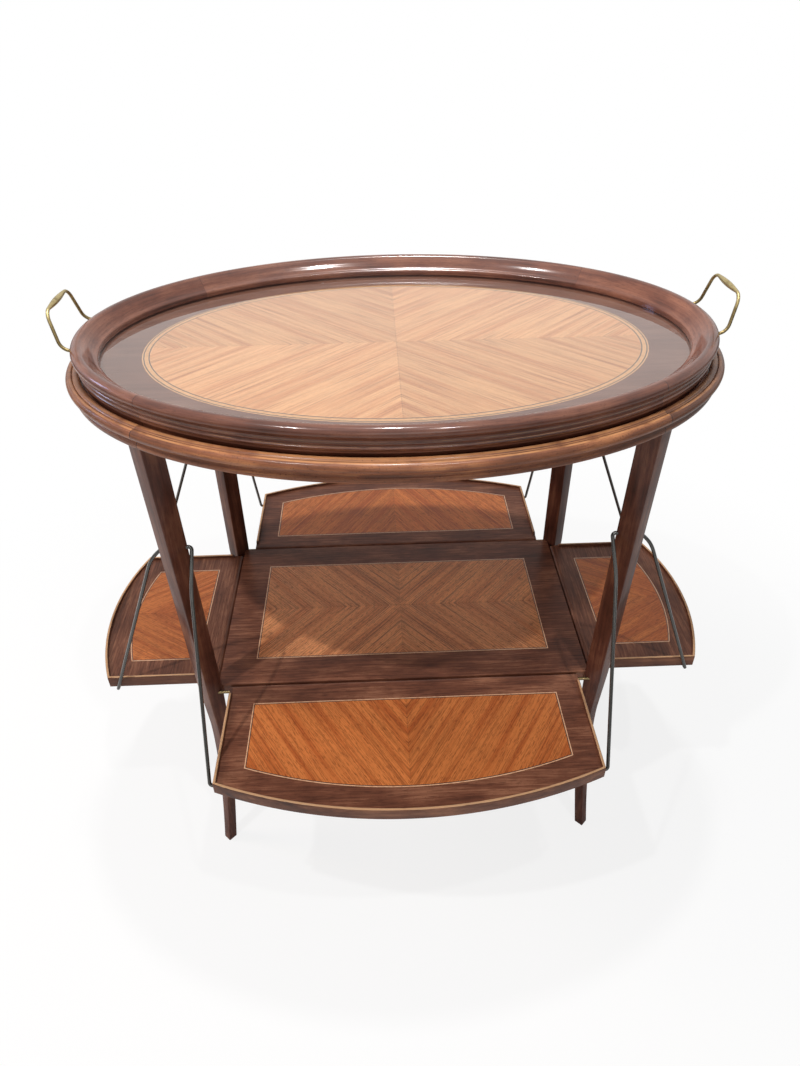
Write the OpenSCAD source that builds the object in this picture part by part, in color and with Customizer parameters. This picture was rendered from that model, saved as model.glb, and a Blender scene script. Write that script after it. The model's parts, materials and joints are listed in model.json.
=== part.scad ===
// Oval tea table with a lift-off tray, a lower shelf and four fold-up leaves on wire stays.
// The origin is on the floor under the middle of the table. +X runs along the long axis.

/* [Oval top frame] */
// Length of the oval frame over its moulding
frame_length = 752; // [680:1:820]
// Width of the oval frame over its moulding
frame_width = 528; // [480:1:580]
// Height of the frame's top lip above the floor
frame_top_z = 731; // [690:1:780]
// Thickness of the frame's rails
rail_h = 24; // [22:0.5:30]
// Width of the frame's rails in plan
rail_w = 56; // [50:1:70]
// Width of the lip that stands round the tray's well
lip_w = 15.5; // [13:0.5:20]
// Depth of the well that the tray drops into
well_depth = 7; // [5:0.5:8]
// Thickness of the fixed board under the tray
top_board_t = 8; // [6:0.5:9]
// Radius of the dowels that join the rails
rail_dowel_r = 3; // [2:0.25:3.5]
// Length of the dowels that join the rails
rail_dowel_l = 30; // [16:1:44]

/* [Tray] */
// How far the tray's nose stays inside the frame's edge
tray_inset = 12; // [10:0.5:16]
// Height of the tray's rim
tray_h = 36; // [33:0.5:42]
// Width of the tray's rim in plan
tray_rim_w = 27; // [24:0.5:34]
// Gap between the tray's side and the well
tray_gap = 3; // [1:0.25:4]
// Thickness of the rim's wall below the reeds
rim_wall_t = 7.5; // [6:0.5:9]
// Thickness of the glass over the marquetry
glass_t = 3; // [2:0.5:4]
// Thickness of the tray's board without its veneer
tray_board_t = 9; // [6:0.5:9.5]
// Length of the inlaid oval over its outer line
inlay_length = 582; // [480:1:620]
// Width of the inlaid oval over its outer line
inlay_width = 387; // [320:1:410]
// Radius of the dowels that join the rim's segments
rim_dowel_r = 2.5; // [1.5:0.25:3]
// Length of the dowels that join the rim's segments
rim_dowel_l = 24; // [14:1:34]

/* [Tray handles] */
// Distance between the two feet of a handle
handle_width = 90; // [74:1:110]
// Length of the straight top of a handle, corner to corner
handle_top_width = 73; // [60:1:90]
// Height of the handle's grip above the tray's rim
handle_rise = 34; // [26:1:44]
// How far the grip leans out past the handle's feet
handle_lean = 9; // [4:0.5:18]
// Radius of the handle's rod
handle_rod_r = 1.9; // [1.5:0.1:2.4]
// Radius of the swelling in the middle of the grip
grip_r = 3.4; // [2.6:0.1:4.2]
// Length of the swelling along the grip
grip_l = 52; // [36:1:56]
// Depth of the handle's feet in the rim
handle_foot_l = 11; // [8:0.5:12]
// How far the feet run out from the rim before they turn up
handle_reach = 8; // [7:0.2:12]
// Radius of the bends at a handle's feet
handle_foot_bend = 7; // [4.6:0.2:8]
// Radius of the bends at the ends of a handle's grip
handle_bend = 10; // [5:0.5:12]

/* [Legs] */
// Place of a leg's top round the frame's oval, as an angle of its outline
leg_turn = 43.2; // [38:0.1:43.4]
// Distance from the frame's edge in to the centre of a leg's top
leg_inset = 22; // [18:0.5:26]
// Distance from the shelf's end out to a leg's centre
leg_out_x = 10.4; // [9:0.2:12]
// Distance from the shelf's side out to a leg's centre
leg_out_y = 2.8; // [2:0.2:4.6]
// Side of the square leg at the frame
leg_top_side = 24.5; // [23:0.5:27]
// Side of the square leg at the shelf
leg_shelf_side = 23; // [22:0.5:24]
// Side of the square leg at the floor
leg_foot_side = 13.4; // [12:0.2:20]
// How late a leg thins below the shelf: 1 is straight
leg_swell = 2.2; // [1:0.1:3]
// How far a foot is swept out of its leg's line, along X
foot_sweep_x = 19.5; // [8:0.5:26]
// How far a foot is swept out of its leg's line, along Y
foot_sweep_y = 29.5; // [12:0.5:36]
// Height above the floor at which the sweep starts
sweep_z = 250; // [180:5:270]
// Width of the eased edges of the legs
leg_ease = 1.2; // [0.6:0.1:2.5]
// Side of the square tenon at a leg's top
tenon_side = 12; // [9:0.5:14]
// Height of the square tenon at a leg's top
tenon_h = 8; // [6:0.5:8.5]

/* [Shelf] */
// Height of the shelf's top face above the floor
shelf_z = 322; // [300:1:345]
// Length of the shelf
shelf_length = 495.2; // [460:0.2:520]
// Depth of the shelf
shelf_depth = 290.4; // [270:0.2:310]
// Thickness of the shelf
shelf_t = 14; // [12:0.5:18]
// Width of the dark border round the shelf's marquetry
shelf_border = 45.3; // [36:0.5:56]

/* [Leaves] */
// Gap between the front and back leaves and the legs' inner corners
long_leaf_gap = 10.8; // [8:0.2:16]
// Depth of the front and back leaves at their corners, from the pins
long_leaf_d = 149.4; // [120:0.5:160]
// Bulge of the outer edge of the front and back leaves
long_leaf_bulge = 45; // [24:1:50]
// Gap between the left and right leaves and the legs' inner corners
short_leaf_gap = 2.2; // [1.6:0.1:6]
// Depth of the left and right leaves at their corners, from the pins
short_leaf_d = 143; // [120:0.5:150]
// Bulge of the outer edge of the left and right leaves
short_leaf_bulge = 26; // [14:1:32]
// Thickness of the leaves
leaf_t = 13; // [12:0.5:14]
// Thickness of the edging strip round a leaf
lip_t = 3.5; // [2.5:0.25:5]
// Height of the edging strip above a leaf
lip_h = 4.5; // [4:0.5:8]
// Width of the dark border round a leaf's marquetry
leaf_border = 33.5; // [24:0.5:42]
// Gap between the shelf and the rounded edge of a leaf
hinge_gap = 0.4; // [0.3:0.1:1]
// Radius of the brass pins that the leaves turn on
pin_r = 2; // [1.5:0.1:2.4]
// Depth of a pin in its leaf
pin_in_leaf = 16; // [8:1:24]
// Depth of a pin in its leg
pin_in_leg = 7; // [5:0.5:7.5]

/* [Wire stays] */
// Radius of the wire
wire_r = 2.2; // [1.6:0.1:2.6]
// Height of the stays' pivots above the floor
stay_pivot_z = 565; // [520:1:600]
// How far the shoulder bend stands out from the pivot
shoulder_out = 37; // [24:1:44]
// How far the shoulder bend hangs below the pivot
shoulder_drop = 34; // [24:1:48]
// Radius of the shoulder bend
shoulder_bend = 60; // [20:5:70]
// Distance from a leaf's corners in to the cross wire
cross_inset = 11; // [8:0.5:20]
// Depth of the groove under a leaf that takes the cross wire
groove_depth = 1.5; // [1:0.1:2]
// Clearance between the cross wire and its groove
groove_gap = 0.4; // [0.3:0.1:0.6]
// Distance from the legs' inner corners in to the arms of the front and back stays
long_arm_gap = 3.4; // [3:0.1:5]
// Distance from a side leaf's edges out to the arms of its stay
short_arm_gap = 4.5; // [3:0.1:6]
// Depth of a stay's pivot in its leg
pivot_l = 9; // [6:0.5:10]
// Running clearance of the pins and pivots in the legs, on the radius
run_gap = 0.05; // [0.02:0.01:0.09]

/* [Marquetry] */
// Thickness of the veneer
veneer_t = 1; // [0.6:0.1:1.5]
// Open joint between two sheets of veneer
veneer_joint = 0.2; // [0.1:0.05:0.3]
// Width of the light line round the shelf's and the leaves' marquetry
light_line = 1.3; // [0.8:0.1:2]
// Width of the dark line round the shelf's and the leaves' marquetry
dark_line = 1; // [0.6:0.1:2]
// Width of the light outer line of the tray's oval
tray_line = 1.5; // [1:0.1:2.5]
// Width of each dark line of the tray's oval
tray_dark = 1.2; // [0.8:0.1:2]
// Width of the light band of the tray's oval
tray_band = 4.5; // [3:0.1:7]

/* [Hidden] */

// Facets of round pieces, and steps in each quarter of an oval
$fn = 40;
arc_fn = 360;
oval_steps = 20;
bend_steps = 4;
rod_sides = 12;

// Colours as the photograph shows them
mahogany = "#6b3f30";
mahogany_dark = "#4f2c22";
satinwood = "#c98a55";
boxwood = "#e6c79a";
ebony = "#2e1c16";
brass = "#bea86e";
bronze = "#4b4a3c";

// Heights and half sizes that several pieces share
frame_a = frame_length / 2;
frame_b = frame_width / 2;
rail_z = frame_top_z - rail_h;
well_z = frame_top_z - well_depth;
board_seat_z = well_z - top_board_t;
tray_z = well_z;
rim_top_z = tray_z + tray_h;
rim_side = lip_w + tray_gap;
rebate_off = rim_side + rim_wall_t;
rim_inner_off = tray_inset + tray_rim_w;
tray_board_z = tray_z + 1;
tray_veneer_z = tray_board_z + tray_board_t;
glass_z = tray_veneer_z + veneer_t;
glass_top_z = glass_z + glass_t;
shelf_x = shelf_length / 2;
shelf_y = shelf_depth / 2;
leg_top = oval_point(leg_turn, leg_inset);
leg_at_shelf = [shelf_x + leg_out_x, shelf_y + leg_out_y];
hinge_r = leaf_t / 2;
leaf_z = shelf_z - leaf_t;
hinge_z = leaf_z + hinge_r;
long_hinge = shelf_y + hinge_gap + hinge_r;
short_hinge = shelf_x + hinge_gap + hinge_r;
lip_clear = hinge_r + 1.5;
wire_z = leaf_z + groove_depth - groove_gap - wire_r;
stay_bend = 4;

// The bent stretches are a hair thinner than the round ends, and run this far into them
rod_lap = 3;
wire_sweep_r = wire_r - 0.05;
handle_sweep_r = handle_rod_r - 0.05;

// Point on the frame's oval at angle t, moved in along the oval's normal
function oval_point(t, inward) =
    let (n = [frame_b * cos(t), frame_a * sin(t)], k = inward / norm(n))
    [frame_a * cos(t) - k * n[0], frame_b * sin(t) - k * n[1]];

// Closed outline of the frame's oval, moved in
function oval_outline(inward) =
    [for (i = [0 : 4 * oval_steps - 1]) oval_point(i * 90 / oval_steps, inward)];

// Closed outline of the inlaid oval, moved in
function inlay_outline(inward) =
    [for (i = [0 : 4 * oval_steps - 1]) let (t = i * 90 / oval_steps)
        [(inlay_length / 2 - inward) * cos(t), (inlay_width / 2 - inward) * sin(t)]];

// Direction along the oval at angle t, as a turn about Z
function oval_heading(t) = atan2(frame_b * cos(t), -frame_a * sin(t));

// Solid through a list of rings, each counter-clockwise as seen from the last ring's end
module loft(rings) {
    m = len(rings[0]);
    n = len(rings) - 1;
    sides = [for (i = [0 : n - 1], j = [0 : m - 1]) let (k = (j + 1) % m)
        each [[i * m + j, (i + 1) * m + k, i * m + k], [i * m + j, (i + 1) * m + j, (i + 1) * m + k]]];
    caps = [[for (j = [0 : m - 1]) j], [for (j = [m - 1 : -1 : 0]) n * m + j]];
    polyhedron(points = [for (ring = rings) each ring], faces = concat(sides, caps), convexity = 4);
}

// A moulding a quarter of the oval long, whose section is a list of [inward, height]
module oval_moulding(section, start) {
    last = len(section) - 1;
    loft([for (i = [0 : oval_steps]) [for (j = [last : -1 : 0])
        let (p = oval_point(start + i * 90 / oval_steps, section[j][0])) [p[0], p[1], section[j][1]]]]);
}

// The frame's section: flat lip, quirk, round nose, cove and fillet outside, a rebate inside
function rail_section() = [
    [lip_w, frame_top_z], [lip_w, board_seat_z], [rail_w, board_seat_z], [rail_w, rail_z],
    [6.4, rail_z], [5.2, rail_z + 1.2], [5.2, rail_z + 5.4], [6.2, rail_z + 6.6],
    [6.8, rail_z + 7.6], [6.6, rail_z + 9.2], [5.6, rail_z + 10.6], [4, rail_z + 11.4],
    [2.2, rail_z + 12.2], [0.7, rail_z + 14], [0, rail_z + 16.5], [0.5, rail_z + 19],
    [2, frame_top_z - 2.8], [4.4, frame_top_z - 1.5], [6.6, frame_top_z - 1.1],
    [7.4, frame_top_z - 1.8], [8.4, frame_top_z - 0.8], [9.4, frame_top_z],
];

// The tray rim's section: reeded side, round nose, hollow slope, and a rebate for board and glass
function rim_section() = [
    [rebate_off, tray_z], [rim_side, tray_z], [rim_side, frame_top_z + 0.6],
    [tray_inset + 4.3, frame_top_z + 2.2], [tray_inset + 4.3, tray_z + 12.4],
    [tray_inset + 3.4, tray_z + 13.4], [tray_inset + 3.4, tray_z + 14.2], [tray_inset + 4.3, tray_z + 15.2],
    [tray_inset + 4.3, tray_z + 17.6], [tray_inset + 3.4, tray_z + 18.6],
    [tray_inset + 3.4, tray_z + 19.4], [tray_inset + 4.3, tray_z + 20.4],
    [tray_inset + 3.8, tray_z + 23.2], [tray_inset + 1.6, rim_top_z - 10.6],
    [tray_inset + 0.3, rim_top_z - 8.6], [tray_inset, rim_top_z - 6.6],
    [tray_inset + 0.6, rim_top_z - 4], [tray_inset + 2.2, rim_top_z - 1.9],
    [tray_inset + 4.6, rim_top_z - 0.5], [tray_inset + 7.4, rim_top_z],
    [tray_inset + 10.6, rim_top_z - 0.7], [tray_inset + 13, rim_top_z - 2.6],
    [rim_inner_off - 10.4, rim_top_z - 6.2], [rim_inner_off - 7.2, rim_top_z - 10.2],
    [rim_inner_off - 3.8, rim_top_z - 13.6], [rim_inner_off - 0.8, rim_top_z - 15.4],
    [rim_inner_off, rim_top_z - 16.6], [rim_inner_off, glass_top_z], [rebate_off, glass_top_z],
];

// Places a dowel across the joint at angle t, at an inward distance and a height
module joint_dowel(t, inward, z, r, l) {
    p = oval_point(t, inward);
    translate([p[0], p[1], z]) rotate([0, 0, oval_heading(t)]) rotate([0, 90, 0])
        cylinder(r = r, h = l, center = true);
}

module rail_dowel(t) {
    joint_dowel(t, (lip_w + rail_w) / 2, (rail_z + board_seat_z) / 2, rail_dowel_r, rail_dowel_l);
}

module rim_dowel(t) {
    joint_dowel(t, tray_inset + 9.5, rim_top_z - 12, rim_dowel_r, rim_dowel_l);
}

// One quarter of the frame, from the joint at angle start
module frame_rail(start) {
    color(mahogany) difference() {
        oval_moulding(rail_section(), start);
        rail_dowel(start);
        rail_dowel(start + 90);
        for (sx = [-1, 1], sy = [-1, 1])
            translate([sx * leg_top[0], sy * leg_top[1], 0]) leg_tenon();
    }
}

module frame_dowels() {
    color(boxwood) for (t = [45 : 90 : 315]) rail_dowel(t);
}

module top_board() {
    color(mahogany_dark) translate([0, 0, board_seat_z])
        linear_extrude(top_board_t) polygon(oval_outline(lip_w));
}

// One quarter of the tray's rim, from the joint at angle start
module tray_rim(start) {
    color(mahogany) difference() {
        oval_moulding(rim_section(), start);
        rim_dowel(start);
        rim_dowel(start + 90);
        handle_feet_cut();
    }
}

module tray_dowels() {
    color(boxwood) for (t = [45 : 90 : 315]) rim_dowel(t);
}

module tray_board() {
    color(mahogany_dark) translate([0, 0, tray_board_z])
        linear_extrude(tray_board_t) polygon(oval_outline(rebate_off));
}

module tray_glass() {
    color("#dfe8ea", 0.35) translate([0, 0, glass_z])
        linear_extrude(glass_t) polygon(oval_outline(rebate_off));
}

// A ring of the inlaid oval between two distances in from its outer line
module inlay_ring(outer, inner) {
    translate([0, 0, tray_veneer_z]) linear_extrude(veneer_t) difference() {
        polygon(inlay_outline(outer));
        polygon(inlay_outline(inner));
    }
}

module tray_border() {
    color(mahogany_dark) translate([0, 0, tray_veneer_z]) linear_extrude(veneer_t) difference() {
        polygon(oval_outline(rebate_off));
        polygon(inlay_outline(0));
    }
}

module tray_light_lines() {
    color(boxwood) {
        inlay_ring(0, tray_line);
        inlay_ring(tray_line + tray_dark, tray_line + tray_dark + tray_band);
    }
}

module tray_dark_lines() {
    color(ebony) {
        inlay_ring(tray_line, tray_line + tray_dark);
        inlay_ring(tray_line + tray_dark + tray_band, tray_line + 2 * tray_dark + tray_band);
    }
}

// Four sheets of veneer that meet on the two middle lines
module quarters(half_x, half_y) {
    for (sx = [-1, 1], sy = [-1, 1]) intersection() {
        children();
        translate([sx * (half_x + veneer_joint) / 2, sy * (half_y + veneer_joint) / 2])
            square([half_x, half_y], center = true);
    }
}

module tray_field() {
    field = tray_line + 2 * tray_dark + tray_band;
    color(satinwood) translate([0, 0, tray_veneer_z]) linear_extrude(veneer_t)
        quarters(inlay_length / 2, inlay_width / 2) polygon(inlay_outline(field));
}

// Unit vector along v
function unit(v) = v / norm(v);

// Round bend at corner p from direction u to direction v, as [place, direction, rod radius]
function bend_arc(p, u, v, bend, r) =
    let (turn = acos(u * v), n = unit(v - (v * u) * u), c = p - u * bend * tan(turn / 2) + n * bend)
    [for (i = [0 : bend_steps]) let (a = turn * i / bend_steps)
        [c + bend * (sin(a) * u - cos(a) * n), cos(a) * u + sin(a) * n, r]];

// Path through the points, with a round bend of its own radius at each inner one
function bent_path(points, bends, r) =
    let (last = len(points) - 1, ways = [for (i = [0 : last - 1]) unit(points[i + 1] - points[i])])
    concat([[points[0], ways[0], r]],
        [for (i = [1 : last - 1]) each bend_arc(points[i], ways[i - 1], ways[i], bends[i - 1], r)],
        [[points[last], ways[last - 1], r]]);

// Side directions along a path, each carried on from the one before it
function carried(path, i, side) =
    i == len(path) ? [] :
    let (t = path[i][1], next = unit(side - (side * t) * t)) concat([next], carried(path, i + 1, next));

// Rod swept along a path, starting from a side direction that is square to it
module swept_rod(path, side) {
    sides = carried(path, 0, side);
    loft([for (i = [0 : len(path) - 1]) let (n = sides[i], b = cross(path[i][1], n))
        [for (a = [0 : 360 / rod_sides : 359]) path[i][0] + path[i][2] * (cos(a) * n + sin(a) * b)]]);
}

// The handles' feet leave the rim at its nose, where the oval is at half the feet's distance
handle_z = rim_top_z - 6.6;
handle_foot_x = frame_a * sqrt(1 - pow(handle_width / 2 / frame_b, 2)) - tray_inset;
grip_z = rim_top_z + handle_rise;
grip_x = handle_foot_x + handle_reach + handle_lean;
grip_end = min(grip_l / 2, handle_top_width / 2 - handle_bend);

// Path of the right handle from inside one foot to inside the other, swelling at its grip
function handle_path() =
    let (foot_y = handle_width / 2, top_y = handle_top_width / 2, steps = 14,
        half = [[handle_foot_x - rod_lap, foot_y, handle_z], [handle_foot_x + handle_reach, foot_y, handle_z],
            [grip_x, top_y, grip_z], [grip_x, grip_end, grip_z]],
        back = [for (i = [3 : -1 : 0]) [half[i][0], -half[i][1], half[i][2]]])
    concat(bent_path(half, [handle_foot_bend, handle_bend], handle_sweep_r),
        [for (i = [1 : steps - 1]) [[grip_x, grip_end * (1 - 2 * i / steps), grip_z], [0, -1, 0],
            handle_sweep_r + (grip_r - handle_sweep_r) * sin(i * 180 / steps)]],
        bent_path(back, [handle_bend, handle_foot_bend], handle_sweep_r));

module handle(side) {
    color(brass) mirror([side < 0 ? 1 : 0, 0, 0]) {
        swept_rod(handle_path(), [0, 0, 1]);
        for (sy = [-1, 1]) translate([handle_foot_x - handle_foot_l, sy * handle_width / 2, handle_z])
            rotate([0, 90, 0]) cylinder(r = handle_rod_r, h = handle_foot_l);
    }
}

// The holes in the rim for the handles' feet
module handle_feet_cut() {
    for (sx = [-1, 1], sy = [-1, 1])
        translate([sx * (handle_foot_x + rod_lap), sy * handle_width / 2, handle_z]) rotate([0, -90 * sx, 0])
            cylinder(r = handle_rod_r, h = handle_foot_l + rod_lap);
}

// Centre of a leg at height z: a straight upper part and a foot that sweeps out below it
function leg_centre(z) =
    let (s = z < sweep_z ? pow(1 - z / sweep_z, 1.4) : 0)
    leg_line(z) + s * [foot_sweep_x, foot_sweep_y];

// Centre of a leg's straight upper part, carried on to height z
function leg_line(z) =
    let (u = (z - shelf_z) / (rail_z - shelf_z))
    leg_at_shelf + u * (leg_top - leg_at_shelf);

// Side of the square leg at height z
function leg_side(z) = z > shelf_z
    ? leg_shelf_side + (leg_top_side - leg_shelf_side) * (z - shelf_z) / (rail_z - shelf_z)
    : leg_foot_side + (leg_shelf_side - leg_foot_side) * pow(z / shelf_z, leg_swell);

// Distance from a leg's centre to its corners at height z
function leg_corner(z) = leg_side(z) / sqrt(2);

// Section of a leg at height z: a square on its corner, with its edges eased
function leg_ring(z) =
    let (c = leg_centre(z), h = leg_corner(z), e = leg_ease / sqrt(2))
    [for (a = [0 : 90 : 270], s = [-1, 1])
        [c[0] + (h - e) * cos(a) - s * e * sin(a), c[1] + (h - e) * sin(a) + s * e * cos(a), z]];

// Heights at which a leg's section is set
leg_heights = concat([for (i = [0 : 10]) i * sweep_z / 10], [shelf_z, rail_z]);

module leg_blank() {
    loft([for (z = leg_heights) leg_ring(z)]);
}

module leg_tenon() {
    translate([0, 0, rail_z]) rotate([0, 0, 45])
        linear_extrude(tenon_h) square(tenon_side, center = true);
}

// A leg's inner corners beside the leaves, and the leaves and the stays' arms that lie between them
leg_inner_x = leg_centre(hinge_z)[0] - leg_corner(hinge_z);
leg_inner_y = leg_centre(hinge_z)[1] - leg_corner(hinge_z);
long_leaf_w = 2 * (leg_inner_x - long_leaf_gap);
short_leaf_w = 2 * (leg_inner_y - short_leaf_gap);
long_arm_x = leg_inner_x - long_arm_gap;
short_arm_y = short_leaf_w / 2 + short_arm_gap;

// How far in X and Y the pins and pivots reach into a leg
long_pin_end = leg_inner_x + abs(long_hinge - leg_centre(hinge_z)[1]) + pin_in_leg;
short_pin_end = leg_inner_y + abs(short_hinge - leg_centre(hinge_z)[0]) + pin_in_leg;
pivot_x = leg_centre(stay_pivot_z)[0];
pivot_y = leg_centre(stay_pivot_z)[1];
long_pivot_end = pivot_x - leg_corner(stay_pivot_z) + pivot_l;
short_pivot_end = pivot_y - leg_corner(stay_pivot_z) + pivot_l;
bore_end = 0.3;

// Round hole that runs from the middle of the table out to the given distance along X
module x_bore(end, y, z, r) {
    translate([0, y, z]) rotate([0, 90, 0]) cylinder(r = r, h = end + bore_end);
}

// Round hole that runs from the middle of the table out to the given distance along Y
module y_bore(end, x, z, r) {
    translate([x, 0, z]) rotate([-90, 0, 0]) cylinder(r = r, h = end + bore_end);
}

module shelf_blank() {
    translate([-shelf_x, -shelf_y, shelf_z - shelf_t]) cube([shelf_length, shelf_depth, shelf_t]);
}

module leg(sx, sy) {
    color(mahogany) mirror([sx < 0 ? 1 : 0, 0, 0]) mirror([0, sy < 0 ? 1 : 0, 0]) {
        difference() {
            leg_blank();
            shelf_blank();
            x_bore(long_pin_end, long_hinge, hinge_z, pin_r + run_gap);
            y_bore(short_pin_end, short_hinge, hinge_z, pin_r + run_gap);
            x_bore(long_pivot_end, pivot_y, stay_pivot_z, wire_r + run_gap);
            y_bore(short_pivot_end, pivot_x, stay_pivot_z, wire_r + run_gap);
        }
        translate([leg_top[0], leg_top[1], 0]) leg_tenon();
    }
}

// Outline of the shelf's marquetry, moved in from the border's inner edge
module shelf_panel(inward) {
    square([shelf_length, shelf_depth] - 2 * (shelf_border + inward) * [1, 1], center = true);
}

module shelf_ring(outer, inner) {
    translate([0, 0, shelf_z - veneer_t]) linear_extrude(veneer_t) difference() {
        shelf_panel(outer);
        shelf_panel(inner);
    }
}

module shelf_board() {
    color(mahogany_dark) difference() {
        shelf_blank();
        translate([0, 0, shelf_z - veneer_t]) linear_extrude(2 * veneer_t) shelf_panel(0);
    }
}

module shelf_field() {
    color(satinwood) translate([0, 0, shelf_z - veneer_t]) linear_extrude(veneer_t)
        quarters(shelf_x, shelf_y) shelf_panel(light_line + dark_line);
}

// Plan of a leaf with its pin line on the X axis and its outer edge towards +Y
module leaf_plan(w, d, bulge, inward, start) {
    r = (w * w / 4 + bulge * bulge) / (2 * bulge);
    intersection() {
        translate([-w / 2 + inward, start]) square([w - 2 * inward, 2 * (d + bulge)]);
        translate([0, d + bulge - r]) circle(r = r - inward, $fn = arc_fn);
    }
}

// The marquetry's outline on a leaf, moved in from the border's inner edge
module leaf_panel(w, d, bulge, inward) {
    leaf_plan(w, d, bulge, leaf_border + inward, leaf_border - hinge_r + inward);
}

module leaf_ring(w, d, bulge, outer, inner) {
    translate([0, 0, shelf_z - veneer_t]) linear_extrude(veneer_t) difference() {
        leaf_panel(w, d, bulge, outer);
        leaf_panel(w, d, bulge, inner);
    }
}

// Rounded edge of a leaf about its pins, over a length along X
module leaf_knuckle(l) {
    translate([-l / 2, 0, hinge_z]) rotate([0, 90, 0]) cylinder(r = hinge_r, h = l);
}

// The groove for the cross wire
module cross_groove(w, d) {
    translate([-w / 2 - 1, d - cross_inset, wire_z]) rotate([0, 90, 0])
        cylinder(r = wire_r + groove_gap, h = w + 2);
}

// A pin's rod on one side of a leaf, from inside the leaf to the given distance along X
module leaf_pin_rod(w, end, side) {
    translate([side * (w / 2 - pin_in_leaf), 0, hinge_z]) rotate([0, 90 * side, 0])
        cylinder(r = pin_r, h = end - w / 2 + pin_in_leaf);
}

module leaf_board(w, d, bulge) {
    color(mahogany_dark) difference() {
        union() {
            translate([0, 0, leaf_z]) linear_extrude(leaf_t) leaf_plan(w, d, bulge, lip_t, 0);
            leaf_knuckle(w - 2 * lip_t);
        }
        translate([0, 0, shelf_z - veneer_t]) linear_extrude(2 * veneer_t) leaf_panel(w, d, bulge, 0);
        cross_groove(w, d);
        for (side = [-1, 1]) leaf_pin_rod(w, w, side);
    }
}

// The edging round three sides of a leaf, eased down to the leaf's face towards the pins
module leaf_lip(w, d, bulge) {
    full = lip_clear + lip_h;
    color(mahogany) difference() {
        union() {
            translate([0, 0, leaf_z]) linear_extrude(leaf_t) leaf_plan(w, d, bulge, 0, 0);
            translate([0, 0, leaf_z]) linear_extrude(leaf_t + lip_h) leaf_plan(w, d, bulge, 0, full);
            translate([-w / 2, full, shelf_z]) rotate([0, 90, 0]) cylinder(r = lip_h, h = w);
            leaf_knuckle(w);
        }
        translate([0, 0, leaf_z - 1]) linear_extrude(leaf_t + lip_h + 2)
            leaf_plan(w, d, bulge, lip_t, -2 * hinge_r);
        cross_groove(w, d);
        for (side = [-1, 1]) leaf_pin_rod(w, w, side);
    }
}

module leaf_field(w, d, bulge) {
    color(satinwood) translate([0, 0, shelf_z - veneer_t]) linear_extrude(veneer_t)
        for (sx = [-1, 1]) intersection() {
            leaf_panel(w, d, bulge, light_line + dark_line);
            translate([sx * (w + veneer_joint) / 2, 0]) square([w, 4 * (d + bulge)], center = true);
        }
}

module leaf_light_line(w, d, bulge) {
    color(boxwood) leaf_ring(w, d, bulge, 0, light_line);
}

module leaf_dark_line(w, d, bulge) {
    color(ebony) leaf_ring(w, d, bulge, light_line, light_line + dark_line);
}

module leaf_pin(w, end, side) {
    color(brass) leaf_pin_rod(w, end, side);
}

// Corner points of a stay, with the pin line on the X axis and the leaf towards +Y
function stay_points(arm, pivot, hinge, d) =
    let (out = pivot - hinge,
        half = [[arm + stay_bend + rod_lap, out, stay_pivot_z], [arm, out, stay_pivot_z],
            [arm, out + shoulder_out, stay_pivot_z - shoulder_drop], [arm, d - cross_inset, wire_z]])
    concat(half, [for (i = [3 : -1 : 0]) [-half[i][0], half[i][1], half[i][2]]]);

module stay_wire(arm, pin_end, pivot, hinge, d) {
    color(bronze) {
        bends = [stay_bend, shoulder_bend, stay_bend];
        swept_rod(bent_path(stay_points(arm, pivot, hinge, d), concat(bends, [for (i = [2 : -1 : 0]) bends[i]]),
            wire_sweep_r), [0, 0, 1]);
        for (sx = [-1, 1]) translate([sx * (arm + stay_bend), pivot - hinge, stay_pivot_z])
            rotate([0, 90 * sx, 0]) cylinder(r = wire_r, h = pin_end - arm - stay_bend);
    }
}

module shelf_light_line() {
    color(boxwood) shelf_ring(0, light_line);
}

module shelf_dark_line() {
    color(ebony) shelf_ring(light_line, light_line + dark_line);
}

// The front and back leaves and stays turn about pins along X, the side ones about pins along Y
module on_long_side(turn) {
    rotate([0, 0, turn]) translate([0, long_hinge, 0]) children();
}

module on_short_side(turn) {
    rotate([0, 0, turn]) translate([0, short_hinge, 0]) children();
}

module long_leaf_board() leaf_board(long_leaf_w, long_leaf_d, long_leaf_bulge);
module long_leaf_lip() leaf_lip(long_leaf_w, long_leaf_d, long_leaf_bulge);
module long_leaf_field() leaf_field(long_leaf_w, long_leaf_d, long_leaf_bulge);
module long_leaf_light_line() leaf_light_line(long_leaf_w, long_leaf_d, long_leaf_bulge);
module long_leaf_dark_line() leaf_dark_line(long_leaf_w, long_leaf_d, long_leaf_bulge);
module long_leaf_pin(side) leaf_pin(long_leaf_w, long_pin_end, side);
module long_stay() stay_wire(long_arm_x, long_pivot_end, pivot_y, long_hinge, long_leaf_d);
module short_leaf_board() leaf_board(short_leaf_w, short_leaf_d, short_leaf_bulge);
module short_leaf_lip() leaf_lip(short_leaf_w, short_leaf_d, short_leaf_bulge);
module short_leaf_field() leaf_field(short_leaf_w, short_leaf_d, short_leaf_bulge);
module short_leaf_light_line() leaf_light_line(short_leaf_w, short_leaf_d, short_leaf_bulge);
module short_leaf_dark_line() leaf_dark_line(short_leaf_w, short_leaf_d, short_leaf_bulge);
module short_leaf_pin(side) leaf_pin(short_leaf_w, short_pin_end, side);
module short_stay() stay_wire(short_arm_y, short_pivot_end, pivot_x, short_hinge, short_leaf_d);

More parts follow.
